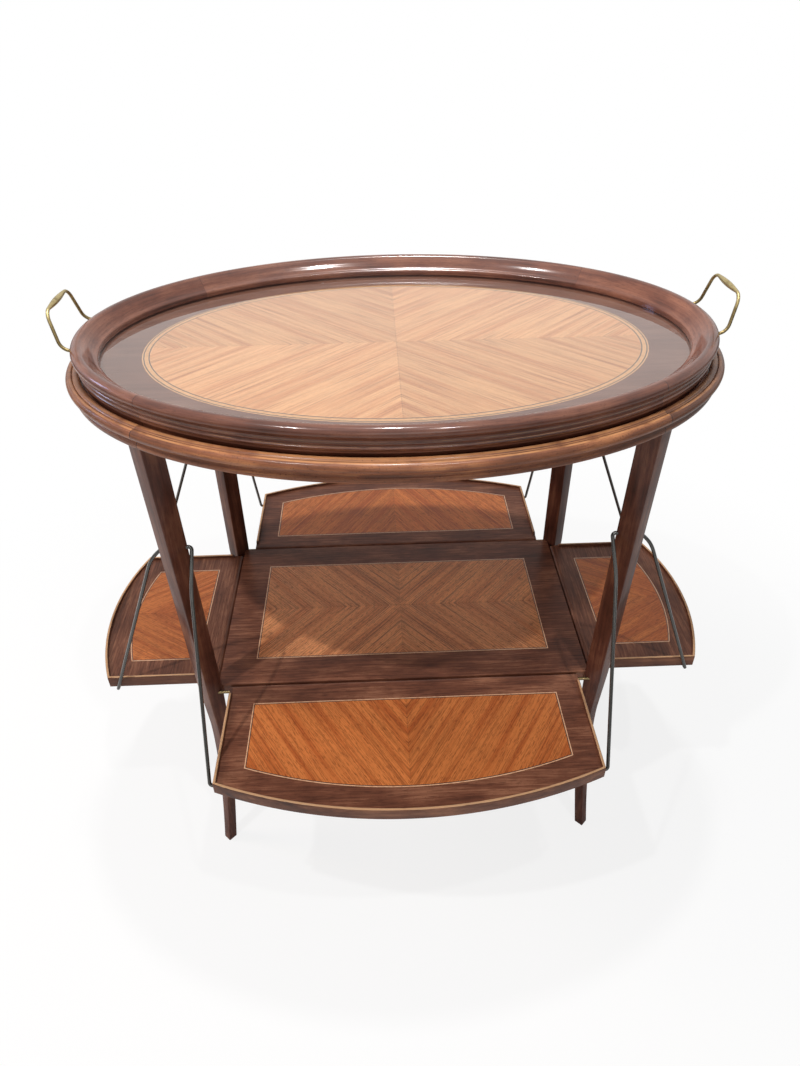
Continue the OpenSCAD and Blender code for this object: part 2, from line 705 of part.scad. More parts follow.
frame_rail(225);  // frame_rail_front
frame_rail(45);  // frame_rail_back
frame_rail(135);  // frame_rail_left
frame_rail(-45);  // frame_rail_right
frame_dowels();
top_board();
leg(-1, -1);  // leg_front_left
leg(1, -1);  // leg_front_right
leg(-1, 1);  // leg_back_left
leg(1, 1);  // leg_back_right
shelf_board();
shelf_field();
shelf_light_line();
shelf_dark_line();
tray_rim(225);  // tray_rim_front
tray_rim(45);  // tray_rim_back
tray_rim(135);  // tray_rim_left
tray_rim(-45);  // tray_rim_right
tray_dowels();
tray_board();
tray_border();
tray_field();
tray_light_lines();
tray_dark_lines();
tray_glass();
handle(-1);  // handle_left
handle(1);  // handle_right
on_long_side(180) long_leaf_board();  // front_leaf_board
on_long_side(180) long_leaf_lip();  // front_leaf_lip
on_long_side(180) long_leaf_field();  // front_leaf_field
on_long_side(180) long_leaf_light_line();  // front_leaf_light_line
on_long_side(180) long_leaf_dark_line();  // front_leaf_dark_line
on_long_side(180) long_leaf_pin(1);  // front_leaf_pin_left
on_long_side(180) long_leaf_pin(-1);  // front_leaf_pin_right
on_long_side(0) long_leaf_board();  // back_leaf_board
on_long_side(0) long_leaf_lip();  // back_leaf_lip
on_long_side(0) long_leaf_field();  // back_leaf_field
on_long_side(0) long_leaf_light_line();  // back_leaf_light_line
on_long_side(0) long_leaf_dark_line();  // back_leaf_dark_line
on_long_side(0) long_leaf_pin(-1);  // back_leaf_pin_left
on_long_side(0) long_leaf_pin(1);  // back_leaf_pin_right
on_short_side(90) short_leaf_board();  // left_leaf_board
on_short_side(90) short_leaf_lip();  // left_leaf_lip
on_short_side(90) short_leaf_field();  // left_leaf_field
on_short_side(90) short_leaf_light_line();  // left_leaf_light_line
on_short_side(90) short_leaf_dark_line();  // left_leaf_dark_line
on_short_side(90) short_leaf_pin(-1);  // left_leaf_pin_front
on_short_side(90) short_leaf_pin(1);  // left_leaf_pin_back
on_short_side(-90) short_leaf_board();  // right_leaf_board
on_short_side(-90) short_leaf_lip();  // right_leaf_lip
on_short_side(-90) short_leaf_field();  // right_leaf_field
on_short_side(-90) short_leaf_light_line();  // right_leaf_light_line
on_short_side(-90) short_leaf_dark_line();  // right_leaf_dark_line
on_short_side(-90) short_leaf_pin(1);  // right_leaf_pin_front
on_short_side(-90) short_leaf_pin(-1);  // right_leaf_pin_back
on_long_side(180) long_stay();  // front_stay_wire
on_long_side(0) long_stay();  // back_stay_wire
on_short_side(90) short_stay();  // left_stay_wire
on_short_side(-90) short_stay();  // right_stay_wire
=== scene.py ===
"""Looks of an oval tea table: swept mouldings, matched veneers, brass and wire round its solids."""

import json
import logging
import math
from collections.abc import Callable, Sequence
from dataclasses import dataclass, field
from enum import Enum
from typing import Any, TypeAlias

import bmesh
import bpy
from mathutils import Matrix, Vector

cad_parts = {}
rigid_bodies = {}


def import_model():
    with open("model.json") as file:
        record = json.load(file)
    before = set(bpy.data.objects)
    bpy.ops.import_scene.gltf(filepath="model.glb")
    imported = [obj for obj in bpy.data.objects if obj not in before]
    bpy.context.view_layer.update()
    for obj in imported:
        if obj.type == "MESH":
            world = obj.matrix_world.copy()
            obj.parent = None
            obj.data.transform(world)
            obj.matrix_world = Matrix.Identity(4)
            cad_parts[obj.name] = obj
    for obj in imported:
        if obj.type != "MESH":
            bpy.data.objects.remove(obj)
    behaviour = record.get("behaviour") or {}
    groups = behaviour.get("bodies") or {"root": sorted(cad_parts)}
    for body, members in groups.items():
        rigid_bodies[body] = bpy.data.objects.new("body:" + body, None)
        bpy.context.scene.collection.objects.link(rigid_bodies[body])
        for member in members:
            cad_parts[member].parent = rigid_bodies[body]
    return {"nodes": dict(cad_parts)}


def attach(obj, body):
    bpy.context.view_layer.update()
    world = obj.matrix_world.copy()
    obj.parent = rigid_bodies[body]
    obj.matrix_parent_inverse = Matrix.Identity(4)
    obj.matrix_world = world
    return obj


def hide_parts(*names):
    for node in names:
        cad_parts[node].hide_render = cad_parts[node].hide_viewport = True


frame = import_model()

log = logging.getLogger("tea_table")

Pair: TypeAlias = tuple[float, float]
Point: TypeAlias = tuple[float, float, float]
Colour: TypeAlias = tuple[float, float, float]
Ring: TypeAlias = list[Point]
Material: TypeAlias = bpy.types.Material
Mesh: TypeAlias = bpy.types.Mesh
Piece: TypeAlias = bpy.types.Object
Value: TypeAlias = "Signal | float"

MM = 0.001
CREASE = 32.0  # angle between faces from which an edge stays sharp, in degrees
CORNER = 52.0  # turn from which a point of a section counts as a corner, in degrees
CURVE_STEPS = 4  # short steps in place of each curved one of a section
QUARTER = math.pi / 2
WHITE = (1.0, 1.0, 1.0, 1.0)
LONG_SIDES = ("front", "back")

# Turns a point of a piece at the back to its own side of the table.
SIDES: dict[str, Callable[[Point], Point]] = {
    "back": lambda p: p,
    "front": lambda p: (-p[0], -p[1], p[2]),
    "right": lambda p: (p[1], -p[0], p[2]),
    "left": lambda p: (-p[1], p[0], p[2]),
}


def srgb(red: int, green: int, blue: int) -> Colour:
    """Gives the linear colour of an eight-bit one, as a photograph's pixel shows it."""
    levels = [value / 255 for value in (red, green, blue)]
    return tuple(v / 12.92 if v <= 0.04045 else ((v + 0.055) / 1.055) ** 2.4 for v in levels)


# ---- node trees


class Signal:
    """A value that flows through a node tree, written in Python expressions."""

    def __init__(self, tree: "Tree", socket: bpy.types.NodeSocket | None) -> None:
        """Keeps the socket and the tree that it is in."""
        self.tree, self.socket = tree, socket

    def __add__(self, other: Value) -> "Signal":
        """Gives self + other."""
        return self.tree.maths("ADD", self, other)

    def __sub__(self, other: Value) -> "Signal":
        """Gives self - other."""
        return self.tree.maths("SUBTRACT", self, other)

    def __rsub__(self, other: float) -> "Signal":
        """Gives other - self."""
        return self.tree.maths("SUBTRACT", other, self)

    def __mul__(self, other: Value) -> "Signal":
        """Gives self * other."""
        return self.tree.maths("MULTIPLY", self, other)

    def __truediv__(self, other: Value) -> "Signal":
        """Gives self / other."""
        return self.tree.maths("DIVIDE", self, other)

    __radd__ = __add__
    __rmul__ = __mul__

    def __abs__(self) -> "Signal":
        """Gives the size of self without its sign."""
        return self.tree.maths("ABSOLUTE", self)

    def sign(self) -> "Signal":
        """Gives -1 or 1, by which side of zero self is."""
        return self.tree.maths("SIGN", self)

    def ramp(self, low: float, high: float) -> "Signal":
        """Gives a smooth step from 0 at low to 1 at high, or down where low is the greater.

        Args:
            low: Value at which the step is 0.
            high: Value at which the step is 1.

        Returns:
            The step, between 0 and 1.
        """
        step = self.tree.node(
            "ShaderNodeMapRange",
            {"interpolation_type": "SMOOTHSTEP"},
            {"Value": self, "From Min": min(low, high), "From Max": max(low, high)},
        )
        return 1 - step if low > high else step


class Tree:
    """A node tree with a single method that adds nodes."""

    def __init__(self, tree: bpy.types.NodeTree) -> None:
        """Takes a tree and clears it."""
        self.tree = tree
        tree.nodes.clear()

    def node(
        self,
        kind: str,
        settings: dict[str, Any] | None = None,
        sockets: dict[int | str, Any] | None = None,
        output: int | str = 0,
    ) -> Signal:
        """Adds a node.

        Args:
            kind: Type of the node.
            settings: Properties of the node, which are set first. A "stops" entry fills a ramp.
            sockets: Value or signal of each input, by name or number.
            output: Name or number of the output that is wanted.

        Returns:
            The output's signal.
        """
        made = self.tree.nodes.new(kind)
        for name, value in (settings or {}).items():
            if name == "stops":
                self._fill_ramp(made.color_ramp, value)
            else:
                setattr(made, name, value)
        for key, value in (sockets or {}).items():
            if isinstance(value, Signal):
                self.tree.links.new(value.socket, made.inputs[key])
            else:
                made.inputs[key].default_value = value
        return Signal(self, made.outputs[output] if made.outputs else None)

    @staticmethod
    def _fill_ramp(ramp: bpy.types.ColorRamp, stops: Sequence[tuple[float, Colour]]) -> None:
        """Sets a ramp's stops.

        Args:
            ramp: The ramp.
            stops: A place and a linear colour for each stop.
        """
        while len(ramp.elements) < len(stops):
            ramp.elements.new(1)
        for element, (place, colour) in zip(ramp.elements, stops):
            element.position = place
            element.color = (*colour, 1)

    def maths(self, operation: str, *values: Value) -> Signal:
        """Adds one Math node and gives its result."""
        return self.node("ShaderNodeMath", {"operation": operation}, dict(enumerate(values)))

    def split(self, where: Signal) -> tuple[Signal, Signal, Signal]:
        """Gives the X, Y and Z of a place."""
        return tuple(self.node("ShaderNodeSeparateXYZ", None, {0: where}, axis) for axis in "XYZ")


class Shader(Tree):
    """The node tree of one material."""

    def __init__(self, name: str) -> None:
        """Starts an empty material.

        Args:
            name: Name of the material.
        """
        self.material = bpy.data.materials.new(name)
        self.material.use_nodes = True
        super().__init__(self.material.node_tree)

    def place(self) -> tuple[Signal, Signal, Signal]:
        """Gives X, Y and Z on the piece, in metres from the middle of the floor."""
        return self.split(self.node("ShaderNodeTexCoord", output="Object"))

    def attribute(self, name: str) -> Signal:
        """Gives a number that was stored on the mesh."""
        return self.node("ShaderNodeAttribute", {"attribute_name": name}, None, "Fac")

    def noise(self, x: Value, y: Value, z: Value, detail: float = 2.0, rough: float = 0.5) -> Signal:
        """Gives noise about one unit wide at a place.

        Args:
            x: First coordinate, in widths of the noise.
            y: Second coordinate.
            z: Third coordinate.
            detail: Octaves of finer noise.
            rough: Strength of each finer octave.

        Returns:
            The noise, about 0 to 1.
        """
        where = self.node("ShaderNodeCombineXYZ", None, {0: x, 1: y, 2: z})
        return self.node(
            "ShaderNodeTexNoise", {"noise_dimensions": "3D"},
            {"Vector": where, "Scale": 1.0, "Detail": detail, "Roughness": rough},
        )

    def mix(self, factor: Value, first: Signal | Colour, second: Signal | Colour) -> Signal:
        """Mixes two colours.

        Args:
            factor: Share of the second colour.
            first: First colour.
            second: Second colour.

        Returns:
            The mixed colour.
        """
        first, second = (c if isinstance(c, Signal) else (*c, 1.0) for c in (first, second))
        return self.node("ShaderNodeMix", {"data_type": "RGBA"}, {0: factor, 6: first, 7: second}, 2)

    def tint(self, colour: Signal, level: Signal) -> Signal:
        """Gives a colour made lighter or darker by a level."""
        scale = self.node("ShaderNodeCombineXYZ", None, {0: level, 1: level, 2: level})
        return self.node("ShaderNodeVectorMath", {"operation": "MULTIPLY"}, {0: colour, 1: scale})

    def bump(self, height: Signal, distance: float, strength: float = 1.0) -> Signal:
        """Gives the normal of a surface with small heights, in metres where height is 1."""
        sockets = {"Height": height, "Distance": distance, "Strength": strength}
        return self.node("ShaderNodeBump", None, sockets)

    def principled(self, sockets: dict[str, Any]) -> Material:
        """Ends the tree in a Principled surface.

        Args:
            sockets: Value or signal of each input that isn't left as it is.

        Returns:
            The finished material.
        """
        return self.finish(self.node("ShaderNodeBsdfPrincipled", None, sockets))

    def finish(self, surface: Signal) -> Material:
        """Joins a surface to the material's output."""
        self.node("ShaderNodeOutputMaterial", None, {"Surface": surface})
        return self.material


class GeometryTree(Tree):
    """A Geometry Nodes tree with named inputs, which sweeps a section along a path."""

    def __init__(self, name: str, numbers: Sequence[str], counts: Sequence[str] = ()) -> None:
        """Starts the tree with a geometry in and out, and a material in.

        Args:
            name: Name of the tree.
            numbers: Names of the inputs that are numbers.
            counts: Names of the inputs that are whole numbers.
        """
        super().__init__(bpy.data.node_groups.new(name, "GeometryNodeTree"))
        new_socket = self.tree.interface.new_socket
        new_socket("Geometry", in_out="OUTPUT", socket_type="NodeSocketGeometry")
        self.entry = self.tree.nodes.new("NodeGroupInput")
        kinds = {"Geometry": "Geometry"} | dict.fromkeys(numbers, "Float")
        kinds |= dict.fromkeys(counts, "Int") | {"Material": "Material"}
        self.ids = {
            key: new_socket(key, in_out="INPUT", socket_type="NodeSocket" + kind).identifier
            for key, kind in kinds.items()
        }

    def __getitem__(self, name: str) -> Signal:
        """Gives the value of a named input."""
        return Signal(self, self.entry.outputs[name])

    def length(self) -> Signal:
        """Gives the way along a curve up to each of its points."""
        return self.node("GeometryNodeSplineParameter", None, None, "Length")

    def store(self, geometry: Signal, name: str, value: Signal) -> Signal:
        """Stores a number under a name on each point of a geometry."""
        sockets = {"Geometry": geometry, "Name": name, "Value": value}
        return self.node("GeometryNodeStoreNamedAttribute", {"domain": "POINT"}, sockets)

    def close(self, path: Signal, section: Signal, scale: Value = 1.0) -> None:
        """Ends the tree in a capped sweep, Realize Instances and Set Material.

        Args:
            path: Curve that the section follows.
            section: Closed curve.
            scale: Size of the section at each point of the path.
        """
        made = self.node("GeometryNodeCurveToMesh", None, {
            "Curve": path, "Profile Curve": section, "Scale": scale, "Fill Caps": True})
        made = self.node("GeometryNodeRealizeInstances", None, {"Geometry": made})
        made = self.node(
            "GeometryNodeSetMaterial", None, {"Geometry": made, "Material": self["Material"]})
        self.node("NodeGroupOutput", None, {0: made})

    def run(self, name: str, mesh: Mesh, values: dict[str, Any]) -> Piece:
        """Runs the tree on a mesh and keeps the result as a plain piece.

        Args:
            name: Name of the piece.
            mesh: Mesh that goes into the tree.
            values: Value of each named input.

        Returns:
            The piece, with no modifier left on it.
        """
        seed = linked(name + "_seed", mesh)
        modifier = seed.modifiers.new("shape", "NODES")
        modifier.node_group = self.tree
        for key, value in values.items():
            modifier[self.ids[key]] = value
        depsgraph = bpy.context.evaluated_depsgraph_get()
        made = bpy.data.meshes.new_from_object(seed.evaluated_get(depsgraph), depsgraph=depsgraph)
        seed.modifiers.remove(modifier)
        bpy.data.objects.remove(seed)
        return piece_from(name, made)


# ---- finishes


class Match(Enum):
    """How sheets of veneer are laid: whether the figure is mirrored across X and across Y."""

    BOOK_X = (True, False)
    BOOK_Y = (False, True)
    QUARTER = (True, True)


@dataclass(frozen=True)
class Satinwood:
    """Straight-grained, ribbon-striped veneer under polish."""

    name: str
    match: Match
    grain: Pair
    pale: Colour = srgb(206, 122, 64)
    warm: Colour = srgb(176, 92, 44)
    dark: Colour = srgb(104, 48, 20)
    stripe: float = 0.5
    line: float = 0.25
    pore: float = 0.55
    painted_sheen_shift: float = 0.06
    blotch: float = 0.3
    coat: float = 0.2
    seed: float = 0.0

    def make(self) -> Material:
        """Builds the material.

        Returns:
            The material, whose figure runs along grain in the mirrored plan.
        """
        s = Shader(self.name)
        x, y, _ = s.place()
        folds = tuple(zip((x, y), self.match.value))
        # painted sheen: each mirrored sheet is lighter or darker by its side, as its fibres would catch
        # the light
        painted_sheen_side = math.prod(axis.sign() for axis, fold in folds if fold)
        x, y = (abs(axis) if fold else axis for axis, fold in folds)
        length = math.hypot(*self.grain)
        ux, uy = self.grain[0] / length, self.grain[1] / length
        along, across = x * ux + y * uy, x * -uy + y * ux
        sway = s.noise(along * 6, across * 5, self.seed + 3, 1.0) - 0.5
        across = across + sway * 0.002
        ribbons = s.noise(across * 110, along * 4, self.seed, 4.0, 0.62)
        stripes = s.noise(across * 760, along * 7, self.seed + 7, 2.0, 0.6)
        lines = abs(s.noise(across * 300, along * 3.5, self.seed + 23, 2.0, 0.5) - 0.5).ramp(0.045, 0.01)
        pores = s.noise(across * 1300, along * 120, self.seed + 11, 1.0)
        figure = s.noise(across * 26, along * 40, self.seed + 17, 3.0, 0.6)
        body = s.mix(ribbons.ramp(0.34, 0.6), self.warm, self.pale)
        body = s.mix(lines * self.line, body, self.dark)
        body = s.mix(stripes.ramp(0.54, 0.66) * self.stripe, body, self.dark)
        body = s.mix(stripes.ramp(0.46, 0.34) * self.stripe * 0.5, body, self.pale)
        body = s.mix(pores.ramp(0.54, 0.66) * self.pore, body, self.dark)
        level = 1 + painted_sheen_side * self.painted_sheen_shift + (figure - 0.5) * self.blotch
        return s.principled({
            "Base Color": s.tint(body, level),
            "Roughness": 0.38 + pores * 0.14,
            "Specular IOR Level": 0.25,
            "Coat Weight": self.coat,
            "Coat Roughness": 0.16,
            "Normal": s.bump(stripes * 0.5 + pores * 0.5, 0.00004, 0.5),
        })


# Where the mahogany shows wear, glue lines, painted light and painted highlights, in metres. A ramp's
# two ends are where it starts and where it is full.
OVAL_X, OVAL_Y = 7.07, 14.35  # one over the squares of the oval's half length and half width
OUTSIDE = (0.83, 0.85)  # squared share of the oval's size, past which a face is an outer one
# The first pair lightens the front-left with painted light; the second weights the crests' painted
# highlights to the front.
PAINTED_LIGHT_FRONT, REED_HIGHLIGHT_FRONT = (0.08, 0.26), (0.06, 0.25)  # distances in front of the middle
JOINT, CREST = (0.0007, 0.0003), (0.00045, 0.00015)  # distances from a joint and from a reed's crest
# half width of the paler upper arris, wear and a painted highlight
WORN_AND_HIGHLIGHT_EDGE = 0.0002


@dataclass(frozen=True)
class Mahogany:
    """Polished mahogany, cut as a straight board or bent along a moulding."""

    name: str
    axis: int = 0
    bent: bool = False
    dark: Colour = srgb(56, 27, 19)
    warm: Colour = srgb(98, 54, 38)
    pale: Colour = srgb(142, 90, 62)
    coat: float = 0.5
    coat_rough: float = 0.12
    sheen: float = 0.15
    relief: float = 1.0
    wave: float = 0.1
    fine: float = 1.0
    pore: float = 0.4
    glue: Colour = srgb(28, 14, 12)
    fleck: float = 0.2
    painted_front_light: float = 0.0
    # heights of crests made paler, partly rubbing and partly painted highlight
    reeds: tuple[float, ...] = ()
    rubbed_and_highlight: Colour = srgb(186, 134, 96)
    worn_and_highlight_above: float | None = None
    worn_and_highlight: Colour = srgb(214, 170, 128)
    seed: float = 0.0

    def make(self) -> Material:
        """Builds the material.

        Returns:
            The material, with its glue lines, its painted light towards the front-left, its reed crests
            paler with rubbing and painted highlights, and its upper arris paler with wear and a painted
            highlight, where they are asked for.
        """
        s = Shader(self.name)
        x, y, z = s.place()
        along, across, deep = ((x, y, z), (y, x, z), (z, x, y))[self.axis]
        if self.bent:
            along, across = s.attribute("along"), s.attribute("across")
        sway = s.noise(along * 5, across * 9, self.seed, 1.0) - 0.5
        across = across + sway * 0.01
        streaks = s.noise(
            across * 170 * self.fine, along * 7 * self.fine, deep * 150 + self.seed, 4.0, 0.62)
        clouds = s.noise(across * 24, along * 12, deep * 22 + (self.seed + 5), 3.0, 0.6)
        pores = s.noise(across * 1100, along * 70, deep * 1100 + self.seed, 1.0)
        colour = s.node(
            "ShaderNodeValToRGB",
            {"stops": [(0.32, self.dark), (0.5, self.warm), (0.68, self.pale)]},
            {0: streaks * 0.5 + clouds * 0.5},
        )
        colour = s.mix(pores.ramp(0.56, 0.7) * self.pore, colour, self.dark)
        specks = s.noise(along * 520, across * 520, deep * 520, 2.0, 0.7)
        colour = s.mix(specks.ramp(0.58, 0.68) * self.fleck, colour, self.dark)
        if self.bent:
            colour = s.mix(s.attribute("joint").ramp(*JOINT), colour, self.glue)
        # painted light: lighter towards the front and left of the table, where the light falls
        colour = s.tint(colour, 1 + (0 - y - x * 0.1).ramp(*PAINTED_LIGHT_FRONT) * self.painted_front_light)
        # reed crests: paler with rubbing and painted highlights, strongest on the outer faces at the
        # front
        front = (0 - y).ramp(*REED_HIGHLIGHT_FRONT)
        outside = (x * x * OVAL_X + y * y * OVAL_Y).ramp(*OUTSIDE)
        for height in self.reeds:
            rubbed_and_highlight = s.noise(along * 40, across * 9, deep * 40, 3.0).ramp(0.3, 0.6)
            crest = abs(z - height).ramp(*CREST)
            colour = s.mix(crest * (rubbed_and_highlight * (front * 0.6 + 0.15)) * outside, colour, self.rubbed_and_highlight)
        # upper arris: paler above a height, partly wear and partly a painted highlight
        if self.worn_and_highlight_above is not None:
            scuff = s.noise(along * 60, across * 60, deep * 300, 3.0)
            worn_and_highlight = (z + scuff * 0.0007).ramp(self.worn_and_highlight_above - WORN_AND_HIGHLIGHT_EDGE, self.worn_and_highlight_above + WORN_AND_HIGHLIGHT_EDGE)
            colour = s.mix(worn_and_highlight * 0.8, colour, self.worn_and_highlight)
        smears = s.noise(along * 14, across * 20, deep * 14 + 9, 3.0)
        waves = s.noise(along * 60, across * 40, deep * 40, 1.0)
        scratches = s.noise(along * 26, across * 1400, deep * 900, 2.0, 0.6)
        height = waves * self.wave + specks * 0.05 + pores * 0.02 + scratches * 0.03
        return s.principled({
            "Base Color": colour,
            "Roughness": 0.36 + smears * 0.16,
            "Specular IOR Level": self.sheen,
            "Coat Weight": self.coat,
            "Coat Roughness": self.coat_rough,
            "Normal": s.bump(height, 0.0004, self.relief),
        })


@dataclass(frozen=True)
class Stringing:
    """A thin inlaid line, light or dark."""

    name: str
    colour: Colour
    shade: Colour
    coat: float = 0.3

    def make(self) -> Material:
        """Builds the material, with the line's own short grain."""
        s = Shader(self.name)
        x, y, z = s.place()
        grain = s.noise(x * 300, y * 300, z * 300, 3.0)
        return s.principled({
            "Base Color": s.mix(grain.ramp(0.4, 0.75), self.colour, self.shade),
            "Roughness": 0.4 + grain * 0.12,
            "Coat Weight": self.coat,
            "Coat Roughness": 0.15,
        })


@dataclass(frozen=True)
class Metal:
    """Brass or dark wire, brighter where it is handled and dulled elsewhere."""

    name: str
    bright: Colour
    dull: Colour
    rough: float
    tarnish: float = 0.8
    metallic: float = 1.0
    coat: float = 0.0
    handled_above: float | None = None

    def make(self) -> Material:
        """Builds the material, with tarnish and fine scratches."""
        s = Shader(self.name)
        x, y, z = s.place()
        tarnish = s.noise(x * 90, y * 90, z * 90, 4.0, 0.65)
        scratches = s.noise(x * 900, y * 260, z * 900, 2.0)
        colour = s.mix(tarnish.ramp(0.42, 0.74) * self.tarnish, self.bright, self.dull)
        if self.handled_above is not None:
            level = z + tarnish * 0.006
            out_of_reach = level.ramp(self.handled_above + 0.01, self.handled_above - 0.01)
            colour = s.mix(out_of_reach * 0.75, colour, self.dull)
        return s.principled({
            "Base Color": colour,
            "Metallic": self.metallic,
            "Roughness": self.rough + tarnish * 0.16,
            "Coat Weight": self.coat,
            "Coat Roughness": 0.1,
            "Normal": s.bump(scratches, 0.00003, 0.6),
        })


@dataclass(frozen=True)
class ClearGlass:
    """A clear sheet that lets light straight through and mirrors by its angle."""

    name: str
    tint: Colour = (0.955, 0.97, 0.965)
    ior: float = 1.9

    def make(self) -> Material:
        """Builds the material, with a few faint smears in its gloss."""
        s = Shader(self.name)
        x, y, z = s.place()
        smears = s.noise(x * 24, y * 9, z * 9, 4.0)
        inner_face = s.node("ShaderNodeNewGeometry", None, None, "Backfacing")
        fresnel = s.node("ShaderNodeFresnel", None, {"IOR": self.ior}) * (1 - inner_face)
        through = s.node("ShaderNodeBsdfTransparent", None, {"Color": (*self.tint, 1.0)})
        mirror = s.node(
            "ShaderNodeBsdfAnisotropic", None,
            {"Color": WHITE, "Roughness": smears.ramp(0.45, 0.75) * 0.1 + 0.02},
        )
        return s.finish(s.node("ShaderNodeMixShader", None, {0: fresnel, 1: through, 2: mirror}))


# ---- meshes


def linked(name: str, data: bpy.types.ID) -> Piece:
    """Makes an object of its data and puts it in the scene."""
    bpy.context.scene.collection.objects.link(made := bpy.data.objects.new(name, data))
    return made


def mesh_of(name: str, points: Sequence[Point], edges: Sequence = (), faces: Sequence = ()) -> Mesh:
    """Makes a mesh.

    Args:
        name: Name of the mesh.
        points: Points, in millimetres.
        edges: Pairs of point numbers.
        faces: Rings of point numbers.

    Returns:
        The mesh, in metres.
    """
    mesh = bpy.data.meshes.new(name)
    mesh.from_pydata([tuple(c * MM for c in p) for p in points], edges, faces)
    return mesh


def piece_from(name: str, mesh: Mesh) -> Piece:
    """Links a mesh as a piece with outward faces and smooth shading between its arrises.

    Args:
        name: Name of the piece.
        mesh: Finished mesh, in metres.

    Returns:
        The piece.
    """
    work = bmesh.new()
    work.from_mesh(mesh)
    bmesh.ops.remove_doubles(work, verts=work.verts, dist=1e-7)
    bmesh.ops.recalc_face_normals(work, faces=work.faces)
    work.to_mesh(mesh)
    work.free()
    mesh.shade_smooth()
    mesh.set_sharp_from_angle(angle=math.radians(CREASE))
    mesh.name = name
    return linked(name, mesh)


def polyline(name: str, points: Sequence[Point], closed: bool = False) -> Mesh:
    """Makes a mesh of edges through points, in millimetres.

    Args:
        name: Name of the mesh.
        points: Points in order.
        closed: Whether the last point joins the first.

    Returns:
        The mesh, in metres.
    """
    count = len(points)
    return mesh_of(name, points, [(i, (i + 1) % count) for i in range(count if closed else count - 1)])


def lofted(name: str, rings: Sequence[Ring], material: Material) -> Piece:
    """Makes a closed piece through rings of points, in millimetres.

    Args:
        name: Name of the piece.
        rings: Rings with the same number of points each.
        material: Finish of the piece.

    Returns:
        The piece.
    """
    size, last = len(rings[0]), (len(rings) - 1) * len(rings[0])
    faces = [
        (i + j, i + (j + 1) % size, i + size + (j + 1) % size, i + size + j)
        for i in range(0, last, size)
        for j in range(size)
    ]
    faces += [tuple(range(size)), tuple(range(last, last + size))]
    mesh = mesh_of(name, [p for ring in rings for p in ring], faces=faces)
    mesh.materials.append(material)
    return piece_from(name, mesh)


def softened(section: Sequence[Pair]) -> list[Pair]:
    """Rounds a closed section through its points, and leaves its corners sharp.

    Args:
        section: Points of the section, in order.

    Returns:
        The finer section, which goes through the same points.
    """
    points = [Vector(p) for p in section]
    count = len(points)

    def turn(i: int) -> float:
        """Gives the turn at point i, in degrees."""
        a, b, c = points[i - 1], points[i], points[(i + 1) % count]
        return math.degrees((b - a).angle(c - b))

    fine = []
    for i in range(count):
        before, here, there, after = (points[(i + k) % count] for k in (-1, 0, 1, 2))
        sharp_here, sharp_there = turn(i) > CORNER, turn((i + 1) % count) > CORNER
        fine.append(tuple(here))
        if sharp_here and sharp_there:
            continue
        span = (there - here).length
        lead = (there - here) if sharp_here else (there - before).normalized() * span
        trail = (there - here) if sharp_there else (after - here).normalized() * span
        for k in range(1, CURVE_STEPS):
            t = k / CURVE_STEPS
            spot = (
                here * (2 * t**3 - 3 * t**2 + 1) + lead * (t**3 - 2 * t**2 + t)
                + there * (-2 * t**3 + 3 * t**2) + trail * (t**3 - t**2)
            )
            fine.append(tuple(spot))
    return fine


# ---- sizes that pieces share


@dataclass(frozen=True)
class Oval:
    """The plan of the table's top, in millimetres."""

    length: float = 752.0
    width: float = 528.0

    def point(self, turn: float, inward: float) -> Pair:
        """Gives the point at an angle of the outline, moved in along its normal.

        Args:
            turn: Angle of the outline, in degrees.
            inward: Distance in from the outline.

        Returns:
            X and Y of the point.
        """
        a, b, t = self.length / 2, self.width / 2, math.radians(turn)
        nx, ny = b * math.cos(t), a * math.sin(t)
        k = inward / math.hypot(nx, ny)
        return a * math.cos(t) - k * nx, b * math.sin(t) - k * ny


@dataclass(frozen=True)
class Levels:
    """Heights of the table's main faces above the floor, in millimetres."""

    frame_top: float = 731.0
    rail: float = 707.0
    rim_top: float = 760.0
    tray: float = 724.0
    glass_top: float = 738.0
    shelf: float = 322.0
    leaf: float = 309.0
    hinge: float = 315.5



def finished(finish: Mahogany | Stringing | Metal | ClearGlass) -> Any:
    """Gives a field that holds a finish's material."""
    return field(default_factory=finish.make)


BORDER = {
    "dark": srgb(66, 39, 30), "coat": 0.16, "coat_rough": 0.24, "sheen": 0.12, "fine": 2.2, "pore": 0.6,
    "fleck": 0.3,
}


